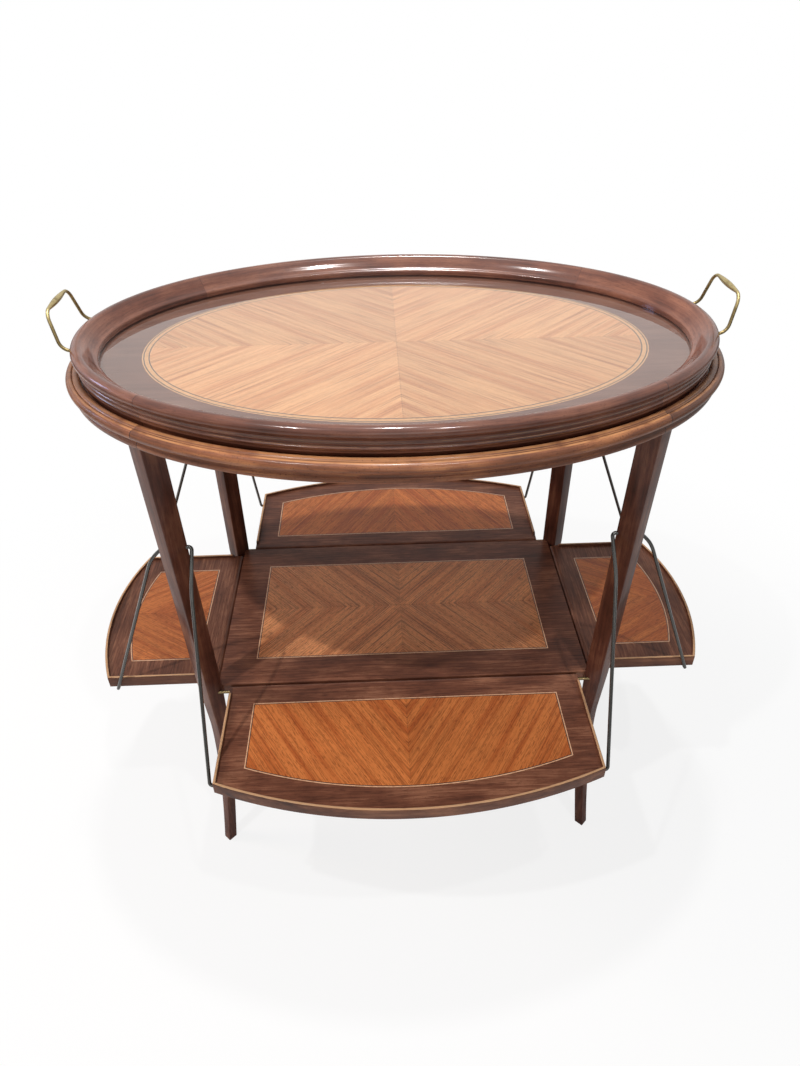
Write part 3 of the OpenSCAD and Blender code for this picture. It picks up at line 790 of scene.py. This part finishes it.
@dataclass
class Finishes:
    """Every finish of the table, made once."""

    # The moulding's front-left is lightened with painted light, and its bead and nose crests are paler
    # with rubbing and painted highlights.
    moulding: Material = finished(Mahogany(
        "moulding_mahogany", bent=True, dark=srgb(54, 31, 22), warm=srgb(98, 59, 39),
        pale=srgb(144, 96, 62), coat=0.35, coat_rough=0.2, fleck=0.65, wave=1.0, painted_front_light=1.15,
        reeds=(0.7295, 0.7308), rubbed_and_highlight=srgb(204, 146, 98)))
    # The rim's reed crests are paler with rubbing and painted highlights.
    rim: Material = finished(Mahogany(
        "rim_mahogany", bent=True, dark=srgb(54, 28, 21), warm=srgb(100, 57, 42), pale=srgb(136, 87, 66),
        coat=0.7, fleck=0.35, wave=1.0, reeds=(0.7364, 0.7393, 0.7443), seed=4.0))
    leg: Material = finished(Mahogany(
        "leg_mahogany", axis=2, dark=srgb(50, 28, 21), warm=srgb(90, 52, 40),
        pale=srgb(132, 88, 66), coat=0.22, sheen=0.12, seed=8.0))
    hidden: Material = finished(Mahogany("board_mahogany", coat=0.3, seed=12.0))
    border_x: Material = finished(Mahogany(
        "border_mahogany", warm=srgb(112, 69, 52), pale=srgb(160, 110, 84), seed=15.0, **BORDER))
    border_y: Material = finished(Mahogany(
        "side_border_mahogany", axis=1, warm=srgb(112, 71, 54), pale=srgb(160, 112, 86),
        seed=19.0, **BORDER))
    # The lip's top arris is paler with wear and a painted highlight.
    lip: Material = finished(Mahogany(
        "lip_mahogany", warm=srgb(104, 62, 42), pale=srgb(150, 100, 72), coat=0.25, coat_rough=0.24,
        worn_and_highlight_above=0.3266, seed=22.0))
    boxwood: Material = finished(Stringing("boxwood", srgb(232, 184, 146), srgb(196, 142, 106)))
    ebonised: Material = finished(Stringing("ebonised", srgb(34, 18, 14), srgb(60, 36, 28)))
    brass: Material = finished(Metal(
        "brass", srgb(184, 166, 118), srgb(98, 82, 54), 0.3, 0.7, handled_above=0.786))
    pin: Material = finished(Metal("pin_brass", srgb(120, 104, 74), srgb(72, 58, 40), 0.35))
    wire: Material = finished(Metal(
        "bronzed_wire", srgb(58, 58, 55), srgb(40, 38, 34), 0.2, 0.6, metallic=0.5, coat=0.8))
    glass: Material = finished(ClearGlass("glass"))


def dress(material: Material, *names: str) -> None:
    """Gives carried-over solids a finish.

    Args:
        material: The finish.
        *names: Names of the solids.
    """
    for name in names:
        solid = frame["nodes"][name]
        solid.data.materials.clear()
        solid.data.materials.append(material)
        log.info("%s: finish %s", name, material.name)


def settle(piece: Piece, body: str, slot: str, *nodes: str) -> None:
    """Makes a piece ride on a body in place of the solids that it stands for.

    Args:
        piece: The finished piece.
        body: Body that it moves with.
        slot: The record's material slot, which is not used.
        *nodes: Solids that it replaces.
    """
    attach(piece, body)
    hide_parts(*nodes)
    log.info("%s: %d faces on %s", piece.name, len(piece.data.polygons), body)


# ---- sub-assemblies


@dataclass
class Assembly:
    """What every sub-assembly is built with."""

    oval: Oval
    levels: Levels
    finishes: Finishes


@dataclass
class Mouldings(Assembly):
    """The frame's four rails and the tray rim's four segments, swept round the oval."""

    lip_w: float = 15.5
    rail_w: float = 56.0
    board_seat: float = 716.0
    rim_inset: float = 12.0
    rim_w: float = 27.0
    rim_side: float = 18.5
    rebate: float = 26.0
    quarter_steps: int = 64
    starts: dict[str, float] = field(
        default_factory=lambda: {"front": 225.0, "back": 45.0, "left": 135.0, "right": -45.0})

    def rail_section(self) -> list[Pair]:
        """Gives the frame's section as pairs of inward distance and height.

        Returns:
            The section, from the rebate round the underside and up the outer face.
        """
        low, top = self.levels.rail, self.levels.frame_top
        outer = (
            (6.4, 0), (5.2, 1.2), (5.2, 5.4), (6.2, 6.6), (6.8, 7.6), (6.6, 9.2), (5.6, 10.6), (4, 11.4),
            (2.2, 12.2), (0.7, 14), (0, 16.5), (0.5, 19),
        )
        bead = (
            (2, 2.8), (4.4, 1.6), (6.4, 1.5), (7.4, 2.6), (8.2, 1.7), (9.6, 0.5), (11.8, 0), (14, 0.6),
        )
        return [
            (self.lip_w, top - 2), (self.lip_w, self.board_seat), (self.rail_w, self.board_seat),
            (self.rail_w, low), *((x, low + z) for x, z in outer), *((x, top - z) for x, z in bead),
        ]

    def rim_section(self) -> list[Pair]:
        """Gives the tray rim's section as pairs of inward distance and height.

        Returns:
            The section, from the rebate round the foot, up the reeds, over the nose and down the hollow.
        """
        low, top = self.levels.tray, self.levels.rim_top
        nose, inner = self.rim_inset, self.rim_inset + self.rim_w
        glass, lip = self.levels.glass_top, self.levels.frame_top
        reeds = (
            (4.3, 12.4), (3.4, 13.4), (3.4, 14.2), (4.3, 15.2), (4.3, 17.6), (3.4, 18.6), (3.4, 19.4),
            (4.3, 20.4), (3.8, 23.2),
        )
        over = (
            (1.6, 10.6), (0.3, 8.6), (0, 6.6), (0.6, 4), (2.2, 1.9), (4.6, 0.5), (7.4, 0), (10.6, 0.7),
            (13, 2.6),
        )
        hollow = ((10.4, 6.2), (7.2, 10.2), (3.8, 13.6), (0.8, 15.4), (0, 16.6))
        return [
            (self.rebate, low), (self.rim_side, low), (self.rim_side, lip + 0.6),
            (nose + 4.3, lip + 2.2), *((nose + x, low + z) for x, z in reeds),
            *((nose + x, top - z) for x, z in over), *((inner - x, top - z) for x, z in hollow),
            (inner, glass), (self.rebate, glass),
        ]

    def tree(self) -> GeometryTree:
        """Builds the tree that sweeps a section along a stretch of the oval.

        Returns:
            The tree. It stores the way along the moulding, the way round its section and the distance
            to the nearer joint.
        """
        t = GeometryTree("oval_sweep", ("Half length", "Half width", "Start", "Sweep"), ("Steps",))
        line = t.node("GeometryNodeCurvePrimitiveLine", None, {"End": (1.0, 0.0, 0.0)})
        path = t.node("GeometryNodeResampleCurve", None, {"Curve": line, "Count": t["Steps"]})
        angle = t.node("GeometryNodeSplineParameter") * t["Sweep"] + t["Start"]
        place = t.node("ShaderNodeCombineXYZ", None, {
            0: t.maths("COSINE", angle) * t["Half length"], 1: t.maths("SINE", angle) * t["Half width"]})
        path = t.node("GeometryNodeSetPosition", None, {"Geometry": path, "Position": place})
        path = t.node("GeometryNodeSetCurveNormal", {"mode": "Z_UP"}, {"Curve": path})
        length, whole = t.length(), t.node("GeometryNodeSplineLength")
        path = t.store(path, "along", length)
        path = t.store(path, "joint", t.maths("MINIMUM", length, whole - length))
        section = t.node("GeometryNodeMeshToCurve", None, {"Mesh": t["Geometry"]})
        t.close(path, t.store(section, "across", length))
        return t

    def build(self) -> None:
        """Sweeps the eight mouldings and puts them in place of their solids."""
        tree = self.tree()
        kinds = (
            ("frame_rail_", "oval_rail_", "frame", self.rail_section(), self.finishes.moulding),
            ("tray_rim_", "rim_moulding_", "tray", self.rim_section(), self.finishes.rim),
        )
        for node, name, body, section, material in kinds:
            outline = [(-inward, -height, 0.0) for inward, height in softened(section)]
            for side, start in self.starts.items():
                piece = tree.run(name + side, polyline(name + side, outline, closed=True), {
                    "Half length": self.oval.length / 2 * MM, "Half width": self.oval.width / 2 * MM,
                    "Start": math.radians(start), "Sweep": QUARTER, "Steps": self.quarter_steps,
                    "Material": material,
                })
                settle(piece, body, "mahogany", node + side)


@dataclass
class Legs(Assembly):
    """Four square legs on the diagonal, straight above and swept out at the foot."""

    turn: float = 43.2
    inset: float = 22.0
    at_shelf: Pair = (258.0, 148.0)
    top_side: float = 24.5
    shelf_side: float = 23.0
    foot_side: float = 13.4
    swell: float = 2.2
    foot_sweep: Pair = (19.5, 29.5)
    sweep_top: float = 250.0
    sweep_power: float = 1.4
    ease: float = 1.2
    ease_steps: int = 4
    rings: int = 56

    def centre(self, z: float) -> Pair:
        """Finds the leg's centre.

        Args:
            z: Height above the floor.

        Returns:
            X and Y of the back right leg's centre.
        """
        top = self.oval.point(self.turn, self.inset)
        up = (z - self.levels.shelf) / (self.levels.rail - self.levels.shelf)
        swept = (1 - z / self.sweep_top) ** self.sweep_power if z < self.sweep_top else 0.0
        lines = zip(self.at_shelf, top, self.foot_sweep)
        return tuple(a + up * (b - a) + swept * c for a, b, c in lines)

    def side(self, z: float) -> float:
        """Finds the side of the leg's square.

        Args:
            z: Height above the floor.

        Returns:
            The side.
        """
        shelf, rail = self.levels.shelf, self.levels.rail
        if z > shelf:
            return self.shelf_side + (self.top_side - self.shelf_side) * (z - shelf) / (rail - shelf)
        return self.foot_side + (self.shelf_side - self.foot_side) * (z / shelf) ** self.swell

    def ring(self, z: float, sx: int, sy: int) -> Ring:
        """Gives the leg's section at a height: a square on its corner with rounded arrises.

        Args:
            z: Height above the floor.
            sx: Side of the table along X, -1 or 1.
            sy: Side of the table along Y, -1 or 1.

        Returns:
            The ring of points.
        """
        cx, cy = self.centre(z)
        reach = self.side(z) / math.sqrt(2)
        radius, away = self.ease, reach - self.ease * math.sqrt(2)
        points = []
        for corner in range(4):
            middle = math.radians(90 * corner)
            for k in range(self.ease_steps + 1):
                a = middle + math.radians(90 * (k / self.ease_steps - 0.5))
                points.append((
                    sx * (cx + away * math.cos(middle) + radius * math.cos(a)),
                    sy * (cy + away * math.sin(middle) + radius * math.sin(a)), z))
        return points

    def build(self) -> None:
        """Lofts the four legs and puts them in place of their solids."""
        heights = [self.sweep_top * k / self.rings for k in range(self.rings)]
        heights += [self.sweep_top, self.levels.shelf, self.levels.rail]
        for y_name, sy in (("front", -1), ("back", 1)):
            for x_name, sx in (("left", -1), ("right", 1)):
                name, rings = f"leg_{y_name}_{x_name}", [self.ring(z, sx, sy) for z in heights]
                settle(lofted("square_" + name, rings, self.finishes.leg), "frame", "mahogany", name)


@dataclass
class Rods(Assembly):
    """The brass handles and the wire stays: rods that follow bent paths."""

    wire_r: float = 2.2
    stay_bends: Point = (4.0, 60.0, 4.0)
    stay_pivot: float = 565.0
    shoulder: Pair = (37.0, 34.0)
    cross_inset: float = 11.0
    wire_z: float = 307.9
    long_stay: tuple[float, ...] = (238.585, 251.9, 157.531, 152.1, 149.4)
    short_stay: tuple[float, ...] = (134.079, 149.6, 259.842, 254.5, 143.0)
    handle_r: float = 1.9
    grip_r: float = 3.4
    grip_l: float = 52.0
    handle_bends: Pair = (13.0, 13.0)
    handle_width: float = 90.0
    handle_top: float = 73.0
    handle_reach: float = 8.0
    handle_lean: float = 9.0
    handle_rise: float = 34.0
    foot_depth: float = 11.0
    nose_inset: float = 12.0
    nose_drop: float = 6.6
    wire_step: float = 1.5
    handle_step: float = 1.0
    bend_steps: int = 10
    facets: int = 16

    def tree(self) -> GeometryTree:
        """Builds the tree that bends a path at its corners and sweeps a round rod along it.

        Returns:
            The tree. Above a height the rod swells towards the middle of its grip.
        """
        t = GeometryTree("bent_rod", ("Radius", "Grip radius", "Grip length", "Grip height", "Step"))
        path = t.node("GeometryNodeMeshToCurve", None, {"Mesh": t["Geometry"]})
        bend = t.node("GeometryNodeInputNamedAttribute", {"data_type": "FLOAT"}, {"Name": "bend"})
        fillet = {"Curve": path, "Count": self.bend_steps, "Radius": bend}
        path = t.node("GeometryNodeFilletCurve", {"mode": "POLY"}, fillet)
        path = t.node(
            "GeometryNodeResampleCurve", {"mode": "LENGTH"}, {"Curve": path, "Length": t["Step"]})
        _, y, z = t.split(t.node("GeometryNodeInputPosition"))
        inside = t.maths("LESS_THAN", abs(y), t["Grip length"] * 0.5)
        high = t.maths("GREATER_THAN", z, t["Grip height"])
        swell = t.maths("COSINE", y / t["Grip length"] * math.pi) * (inside * high)
        radius = t["Radius"] + swell * (t["Grip radius"] - t["Radius"])
        circle = t.node(
            "GeometryNodeCurvePrimitiveCircle", None, {"Resolution": self.facets, "Radius": 1.0})
        t.close(t.store(path, "along", t.length()), circle, radius)
        return t

    def stay_path(self, sizes: tuple[float, ...], side: str) -> list[Point]:
        """Gives the corner points of a stay.

        Args:
            sizes: Arm, pivot end, pivot line, hinge line and leaf depth.
            side: Side of the table.

        Returns:
            The points, from one leg to the other.
        """
        arm, end, pivot, hinge, depth = sizes
        out, drop = self.shoulder
        half = [
            (end, pivot, self.stay_pivot), (arm, pivot, self.stay_pivot),
            (arm, pivot + out, self.stay_pivot - drop),
            (arm, hinge + depth - self.cross_inset, self.wire_z),
        ]
        return [SIDES[side](p) for p in half + [(-x, y, z) for x, y, z in reversed(half)]]

    def handle_path(self, sx: int) -> list[Point]:
        """Gives the corner points of a handle.

        Args:
            sx: End of the tray, -1 or 1.

        Returns:
            The points, from one foot to the other.
        """
        z = self.levels.rim_top - self.nose_drop
        wide, top = self.handle_width / 2, self.handle_top / 2
        foot = self.oval.length / 2 * math.sqrt(1 - (2 * wide / self.oval.width) ** 2) - self.nose_inset
        up, out = self.levels.rim_top + self.handle_rise, foot + self.handle_reach
        half = [(foot - self.foot_depth, wide, z), (out, wide, z), (out + self.handle_lean, top, up)]
        return [(sx * x, y, z) for x, y, z in half + [(x, -y, z) for x, y, z in reversed(half)]]

    @staticmethod
    def path_mesh(name: str, points: Sequence[Point], bends: Sequence[float]) -> Mesh:
        """Makes a rod's path, with the radius of the bend stored at each corner.

        Args:
            name: Name of the mesh.
            points: Corner points, in millimetres.
            bends: Radius at each inner corner of the first half, in millimetres.

        Returns:
            The mesh of the path.
        """
        mesh = polyline(name, points)
        bend = mesh.attributes.new("bend", "FLOAT", "POINT")
        bend.data.foreach_set("value", [r * MM for r in (0.0, *bends, *reversed(bends), 0.0)])
        return mesh

    def build(self) -> None:
        """Sweeps the stays and the handles and puts them in place of their solids."""
        tree = self.tree()
        plain = {  # no grip, because its height is out of reach
            "Radius": self.wire_r * MM, "Grip radius": self.wire_r * MM, "Grip length": 1.0,
            "Grip height": 9.0, "Step": self.wire_step * MM, "Material": self.finishes.wire,
        }
        for side in SIDES:
            sizes = self.long_stay if side in LONG_SIDES else self.short_stay
            name = side + "_wire_stay"
            path = self.path_mesh(name, self.stay_path(sizes, side), self.stay_bends)
            settle(tree.run(name, path, plain), side + "_stay", "bronzed_wire", side + "_stay_wire")
        above = (self.levels.rim_top + self.handle_rise / 2) * MM
        grip = {
            "Radius": self.handle_r * MM, "Grip radius": self.grip_r * MM,
            "Grip length": self.grip_l * MM, "Grip height": above, "Step": self.handle_step * MM,
            "Material": self.finishes.brass,
        }
        for side, sx in (("left", -1), ("right", 1)):
            name = side + "_loop_handle"
            path = self.path_mesh(name, self.handle_path(sx), self.handle_bends)
            settle(tree.run(name, path, grip), "tray", "brass", "handle_" + side)


@dataclass
class TrayTop(Assembly):
    """The tray's board and marquetry, which keep their solids, and the glass over them."""

    rebate: float = 26.0
    glass_t: float = 3.0
    air: float = 0.15
    arris: Pair = (0.4, 0.5)
    outline_steps: int = 256

    def glass(self) -> None:
        """Makes the glass, a hair smaller than its rebate so that it shows no seam."""
        top, low, steps = self.levels.glass_top, self.levels.glass_top - self.glass_t, self.outline_steps
        air, eased, drop = self.air, self.air + self.arris[0], self.arris[1]
        section = ((eased, low + air), (air, low + drop), (air, top - drop), (eased, top - air))
        rings = [
            [(*self.oval.point(360 * i / steps, self.rebate + inward), z) for i in range(steps)]
            for inward, z in section
        ]
        settle(lofted("oval_glass", rings, self.finishes.glass), "tray", "glass", "tray_glass")

    def build(self) -> None:
        """Makes the glass and dresses the solids under it."""
        self.glass()
        wood = Satinwood(
            "tray_satinwood", Match.QUARTER, (1.0, 0.95), pale=srgb(226, 168, 118),
            warm=srgb(205, 138, 90), dark=srgb(150, 88, 52), stripe=0.75, line=0.2, pore=0.2,
            blotch=0.14, coat=0.0, seed=1.0)
        # The border's mahogany is lighter and greyer than the other borders: partly its own colour,
        # partly a painted reflection of the glare on the glass.
        border = Mahogany(
            "tray_border_mahogany_painted_glare", coat=0.0, relief=0.0, pore=0.1, fleck=0.0, dark=srgb(100, 64, 52),
            warm=srgb(120, 81, 67), pale=srgb(138, 98, 82), seed=31.0)
        band = Stringing("band_satinwood", srgb(216, 160, 108), srgb(190, 132, 84), 0.0)
        dress(wood.make(), "tray_field")
        dress(border.make(), "tray_border")
        dress(band.make(), "tray_light_lines")
        dress(self.finishes.boxwood, "tray_dowels")
        dress(self.finishes.ebonised, "tray_dark_lines")
        dress(self.finishes.hidden, "tray_board")


@dataclass
class Shelf(Assembly):
    """The lower shelf and the fixed board of the top, which keep their solids."""

    def build(self) -> None:
        """Dresses the shelf's solids and the hidden parts of the top."""
        # The shelf's veneer is paler than the leaves': partly its own colour, partly painted light that
        # lifts the shelf where it lies in the tray's shade.
        wood = Satinwood(
            "shelf_satinwood_with_painted_light", Match.QUARTER, (1.0, 1.12), pale=srgb(222, 150, 98),
            warm=srgb(194, 120, 74), dark=srgb(70, 40, 28), stripe=0.65, line=0.4, seed=5.0)
        dress(wood.make(), "shelf_field")
        dress(self.finishes.border_x, "shelf_board")
        dress(self.finishes.boxwood, "shelf_light_line", "frame_dowels")
        dress(self.finishes.ebonised, "shelf_dark_line")
        dress(self.finishes.hidden, "top_board")


@dataclass
class Leaf(Assembly):
    """One fold-up leaf: its board and marquetry keep their solids, and its edging is made anew."""

    side: str
    width: float
    depth: float
    bulge: float
    hinge: float
    match: Match
    grain: Pair
    edge_t: float = 3.5
    edge_h: float = 4.5
    pin_ends: tuple[str, str] = ("left", "right")
    # share by which the leaf's mirrored sheets differ in painted sheen
    painted_sheen_shift: float = 0.06
    arc_steps: int = 48
    rise_gap: float = 1.5
    lead: float = 1.0
    least_reach: float = 0.1
    top_r: float = 1.1
    ease: float = 0.6
    curve_steps: int = 6
    side_steps: int = 8

    @property
    def knuckle(self) -> float:
        """Half the leaf's thickness, which is the radius of its edge about the pin line."""
        return (self.levels.shelf - self.levels.leaf) / 2

    @property
    def clear(self) -> float:
        """Distance from the pin line at which the edging starts to rise above the leaf."""
        return self.knuckle + self.rise_gap

    def edging_line(self, inward: float) -> list[Pair]:
        """Gives the plan of the edging at a distance in from the leaf's edge.

        Args:
            inward: Distance in from the leaf's outer edge.

        Returns:
            X and Y from the pin line, from one end round the curve to the other.
        """
        full, half = self.clear + self.edge_h, self.width / 2 - inward
        radius = (self.width**2 / 4 + self.bulge**2) / (2 * self.bulge)
        centre = self.depth + self.bulge - radius
        corner = centre + math.sqrt((radius - inward) ** 2 - half**2)
        eased = [1 - math.cos(QUARTER * k / self.curve_steps) for k in range(self.curve_steps + 1)]
        rise = [-self.knuckle + self.knuckle * e for e in eased[:-1]] + [0.0, self.clear]
        rise += [self.clear + self.edge_h * e for e in eased[1:]] + [full + self.lead]
        rise += [full + (corner - full) * k / self.side_steps for k in range(1, self.side_steps + 1)]
        side = [(half, y) for y in rise]
        start = math.atan2(corner - centre, half)
        arc = [start + (math.pi - 2 * start) * k / self.arc_steps for k in range(1, self.arc_steps)]
        near = radius - inward
        curve = [(near * math.cos(a), centre + near * math.sin(a)) for a in arc]
        return side + curve + [(-x, y) for x, y in reversed(side)]

    def section(self) -> list[Pair]:
        """Gives the edging's section, rounded along its top.

        Returns:
            Inward distance and height of each point.
        """
        low, top, t, r = self.levels.leaf, self.levels.shelf + self.edge_h, self.edge_t, self.top_r
        arc = [QUARTER * k / CURVE_STEPS for k in range(CURVE_STEPS + 1)]
        outer = [(r - r * math.sin(a), top - r + r * math.cos(a)) for a in reversed(arc)]
        inner = [(t - r + r * math.sin(a), top - r + r * math.cos(a)) for a in arc]
        return [(0.0, low + self.ease), *outer, *inner, (t, low), (self.ease, low)]

    def height(self, y: float, z: float) -> float:
        """Gives a section height as it is at a distance from the pin line.

        Args:
            y: Distance from the pin line.
            z: Height in the full section.

        Returns:
            The height, lowered where the edging eases down and rounded about the pin.
        """
        face = self.levels.shelf
        if y < 0:
            reach = math.sqrt(max(self.knuckle**2 - y**2, self.least_reach**2))
            return min(max(z, self.levels.hinge - reach), self.levels.hinge + reach)
        over = min(max((y - self.clear) / self.edge_h, 0.0), 1.0)
        rise = math.sqrt(1 - (1 - over) ** 2)
        return z if z < face else face + (z - face) * rise

    def build(self) -> None:
        """Makes the edging and dresses the leaf's solids."""
        name, to_side = self.side + "_leaf", SIDES[self.side]
        lines = [[(x, y, z) for x, y in self.edging_line(inward)] for inward, z in self.section()]
        rings = [
            [to_side((x, self.hinge + y, self.height(y, z))) for x, y, z in ring] for ring in zip(*lines)
        ]
        settle(lofted(name + "_edging", rings, self.finishes.lip), name, "mahogany", name + "_lip")
        wood = Satinwood(
            name + "_satinwood", self.match, self.grain, painted_sheen_shift=self.painted_sheen_shift,
            seed=float(len(self.side) * 3 + self.width))
        dress(wood.make(), name + "_field")
        border = self.finishes.border_x if self.side in LONG_SIDES else self.finishes.border_y
        dress(border, name + "_board")
        dress(self.finishes.boxwood, name + "_light_line")
        dress(self.finishes.ebonised, name + "_dark_line")
        dress(self.finishes.pin, *(f"{name}_pin_{end}" for end in self.pin_ends))


@dataclass
class Studio:
    """The pale floor, the lamps, the white surroundings and the camera."""

    focal_px: float = 761.78
    image_h: float = 1066.0
    camera_at: Point = (-25.40, -842.15, 1091.16)
    yaw: float = 1.80
    pitch: float = -37.019
    roll: float = -0.784
    aim: Point = (0.0, 0.0, 0.5)
    ambient: float = 0.16
    floor_half: float = 40_000.0
    floor_grey: float = 0.86
    glow: Pair = (0.82, 1.0)

    def camera(self) -> None:
        """Places the camera of the photograph."""
        data = bpy.data.cameras.new("camera")
        data.sensor_width = 36.0
        data.sensor_fit = "AUTO"
        data.lens = self.focal_px / self.image_h * data.sensor_width
        data.clip_start = 0.01
        view = linked("camera", data)
        ya, pi, ro = (math.radians(a) for a in (self.yaw, self.pitch, self.roll))
        forward = Vector((math.sin(ya) * math.cos(pi), math.cos(ya) * math.cos(pi), math.sin(pi)))
        right = Vector((math.cos(ya), -math.sin(ya), 0.0))
        up = right.cross(forward)
        right, up = right * math.cos(ro) + up * math.sin(ro), up * math.cos(ro) - right * math.sin(ro)
        turned = Matrix((right, up, -forward)).transposed()
        view.matrix_world = Matrix.Translation(Vector(self.camera_at) * MM) @ turned.to_4x4()
        bpy.context.scene.camera = view

    def lamp(
        self, name: str, place: Point, size: float, power: float, colour: Colour = WHITE[:3],
        mirrored: bool = True,
    ) -> None:
        """Hangs a lamp that shines at the table.

        Args:
            name: Name of the lamp.
            place: Where the lamp hangs, in metres.
            size: Width of the lamp, in metres.
            power: Power, in watts.
            colour: Colour of its light.
            mirrored: Whether the lamp shows in polished faces.
        """
        data = bpy.data.lights.new(name, "AREA")
        data.shape, data.size, data.energy, data.color = "DISK", size, power, colour
        lamp = linked(name, data)
        lamp.location = place
        lamp.visible_camera, lamp.visible_glossy = False, mirrored
        lamp.rotation_euler = (lamp.location - Vector(self.aim)).to_track_quat("Z", "Y").to_euler()

    def surroundings(self) -> None:
        """Makes the world: white where it is seen or mirrored, and dimmer as light."""
        world = bpy.data.worlds.new("studio")
        bpy.context.scene.world = world
        world.use_nodes = True
        t = Tree(world.node_tree)
        rays = [
            t.node("ShaderNodeLightPath", None, None, f"Is {kind} Ray")
            for kind in ("Camera", "Glossy", "Transmission")
        ]
        seen = t.maths("MAXIMUM", t.maths("MAXIMUM", rays[0], rays[1]), rays[2])
        light, white = (
            t.node("ShaderNodeBackground", None, {"Color": WHITE, "Strength": strength})
            for strength in (self.ambient, 1.0)
        )
        mixed = t.node("ShaderNodeMixShader", None, {0: seen, 1: light, 2: white})
        t.node("ShaderNodeOutputWorld", None, {"Surface": mixed})

    def floor(self) -> None:
        """Lays the plain pale floor."""
        s = Shader("floor")
        grey, half = self.floor_grey, self.floor_half
        plain = s.node("ShaderNodeBsdfDiffuse", None, {"Color": (grey, grey, grey, 1.0)})
        shown = s.node("ShaderNodeEmission", None, {"Strength": 1.0})
        seen = s.node("ShaderNodeLightPath", None, None, "Is Camera Ray")
        x, y, _ = s.place()
        near, far = self.glow
        away = (x * x + y * y).ramp(0.1, 1.4) * (far - near) + near
        s.finish(s.node("ShaderNodeMixShader", None, {0: seen * away, 1: plain, 2: shown}))
        corners = ((-half, -half, 0), (half, -half, 0), (half, half, 0), (-half, half, 0))
        mesh = mesh_of("floor", corners, faces=[(0, 1, 2, 3)])
        mesh.materials.append(s.material)
        floor = linked("floor", mesh)

    def build(self) -> None:
        """Sets the studio up."""
        self.camera()
        self.surroundings()
        self.floor()
        self.lamp("ceiling_front_right", (0.466, -0.98, 3.0), 0.08, 17.0)
        self.lamp("ceiling_front_left", (-0.98, -0.93, 3.0), 0.08, 29.0)
        self.lamp("ceiling_back", (0.0, 0.294, 3.0), 0.12, 28.0)
        self.lamp("room_front", (0.3, -3.4, 1.5), 1.8, 12.0, (1.0, 0.96, 0.9))
        self.lamp("room_left", (-2.9, 0.4, 1.7), 1.0, 42.0, (1.0, 0.84, 0.7), mirrored=False)
        self.lamp("window_left", (-2.9, 0.9, 1.9), 0.6, 9.0, (0.5, 0.6, 1.0))
        bpy.context.scene.view_settings.view_transform = "Standard"


def main() -> None:
    """Builds every sub-assembly in order."""
    logging.basicConfig(level=logging.INFO, format="%(name)s: %(message)s")
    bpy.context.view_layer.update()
    shared = (Oval(), Levels(), Finishes())
    Studio().build()
    for assembly in (Mouldings, Legs, Rods, TrayTop, Shelf):
        assembly(*shared).build()
    long_leaf = {"width": 462.37, "depth": 149.4, "bulge": 45.0, "hinge": 152.1, "match": Match.BOOK_X}
    short_leaf = {
        "width": 259.159, "depth": 143.0, "bulge": 26.0, "hinge": 254.5, "match": Match.BOOK_Y,
        "pin_ends": LONG_SIDES,
    }
    steep = math.tan(math.radians(58))
    Leaf(*shared, "front", **long_leaf, grain=(1.0, steep), painted_sheen_shift=-0.06).build()
    Leaf(*shared, "back", **long_leaf, grain=(1.0, -steep)).build()
    Leaf(*shared, "left", **short_leaf, grain=(steep, 1.0)).build()
    Leaf(*shared, "right", **short_leaf, grain=(-steep, 1.0)).build()


if __name__ == "__main__":
    main()
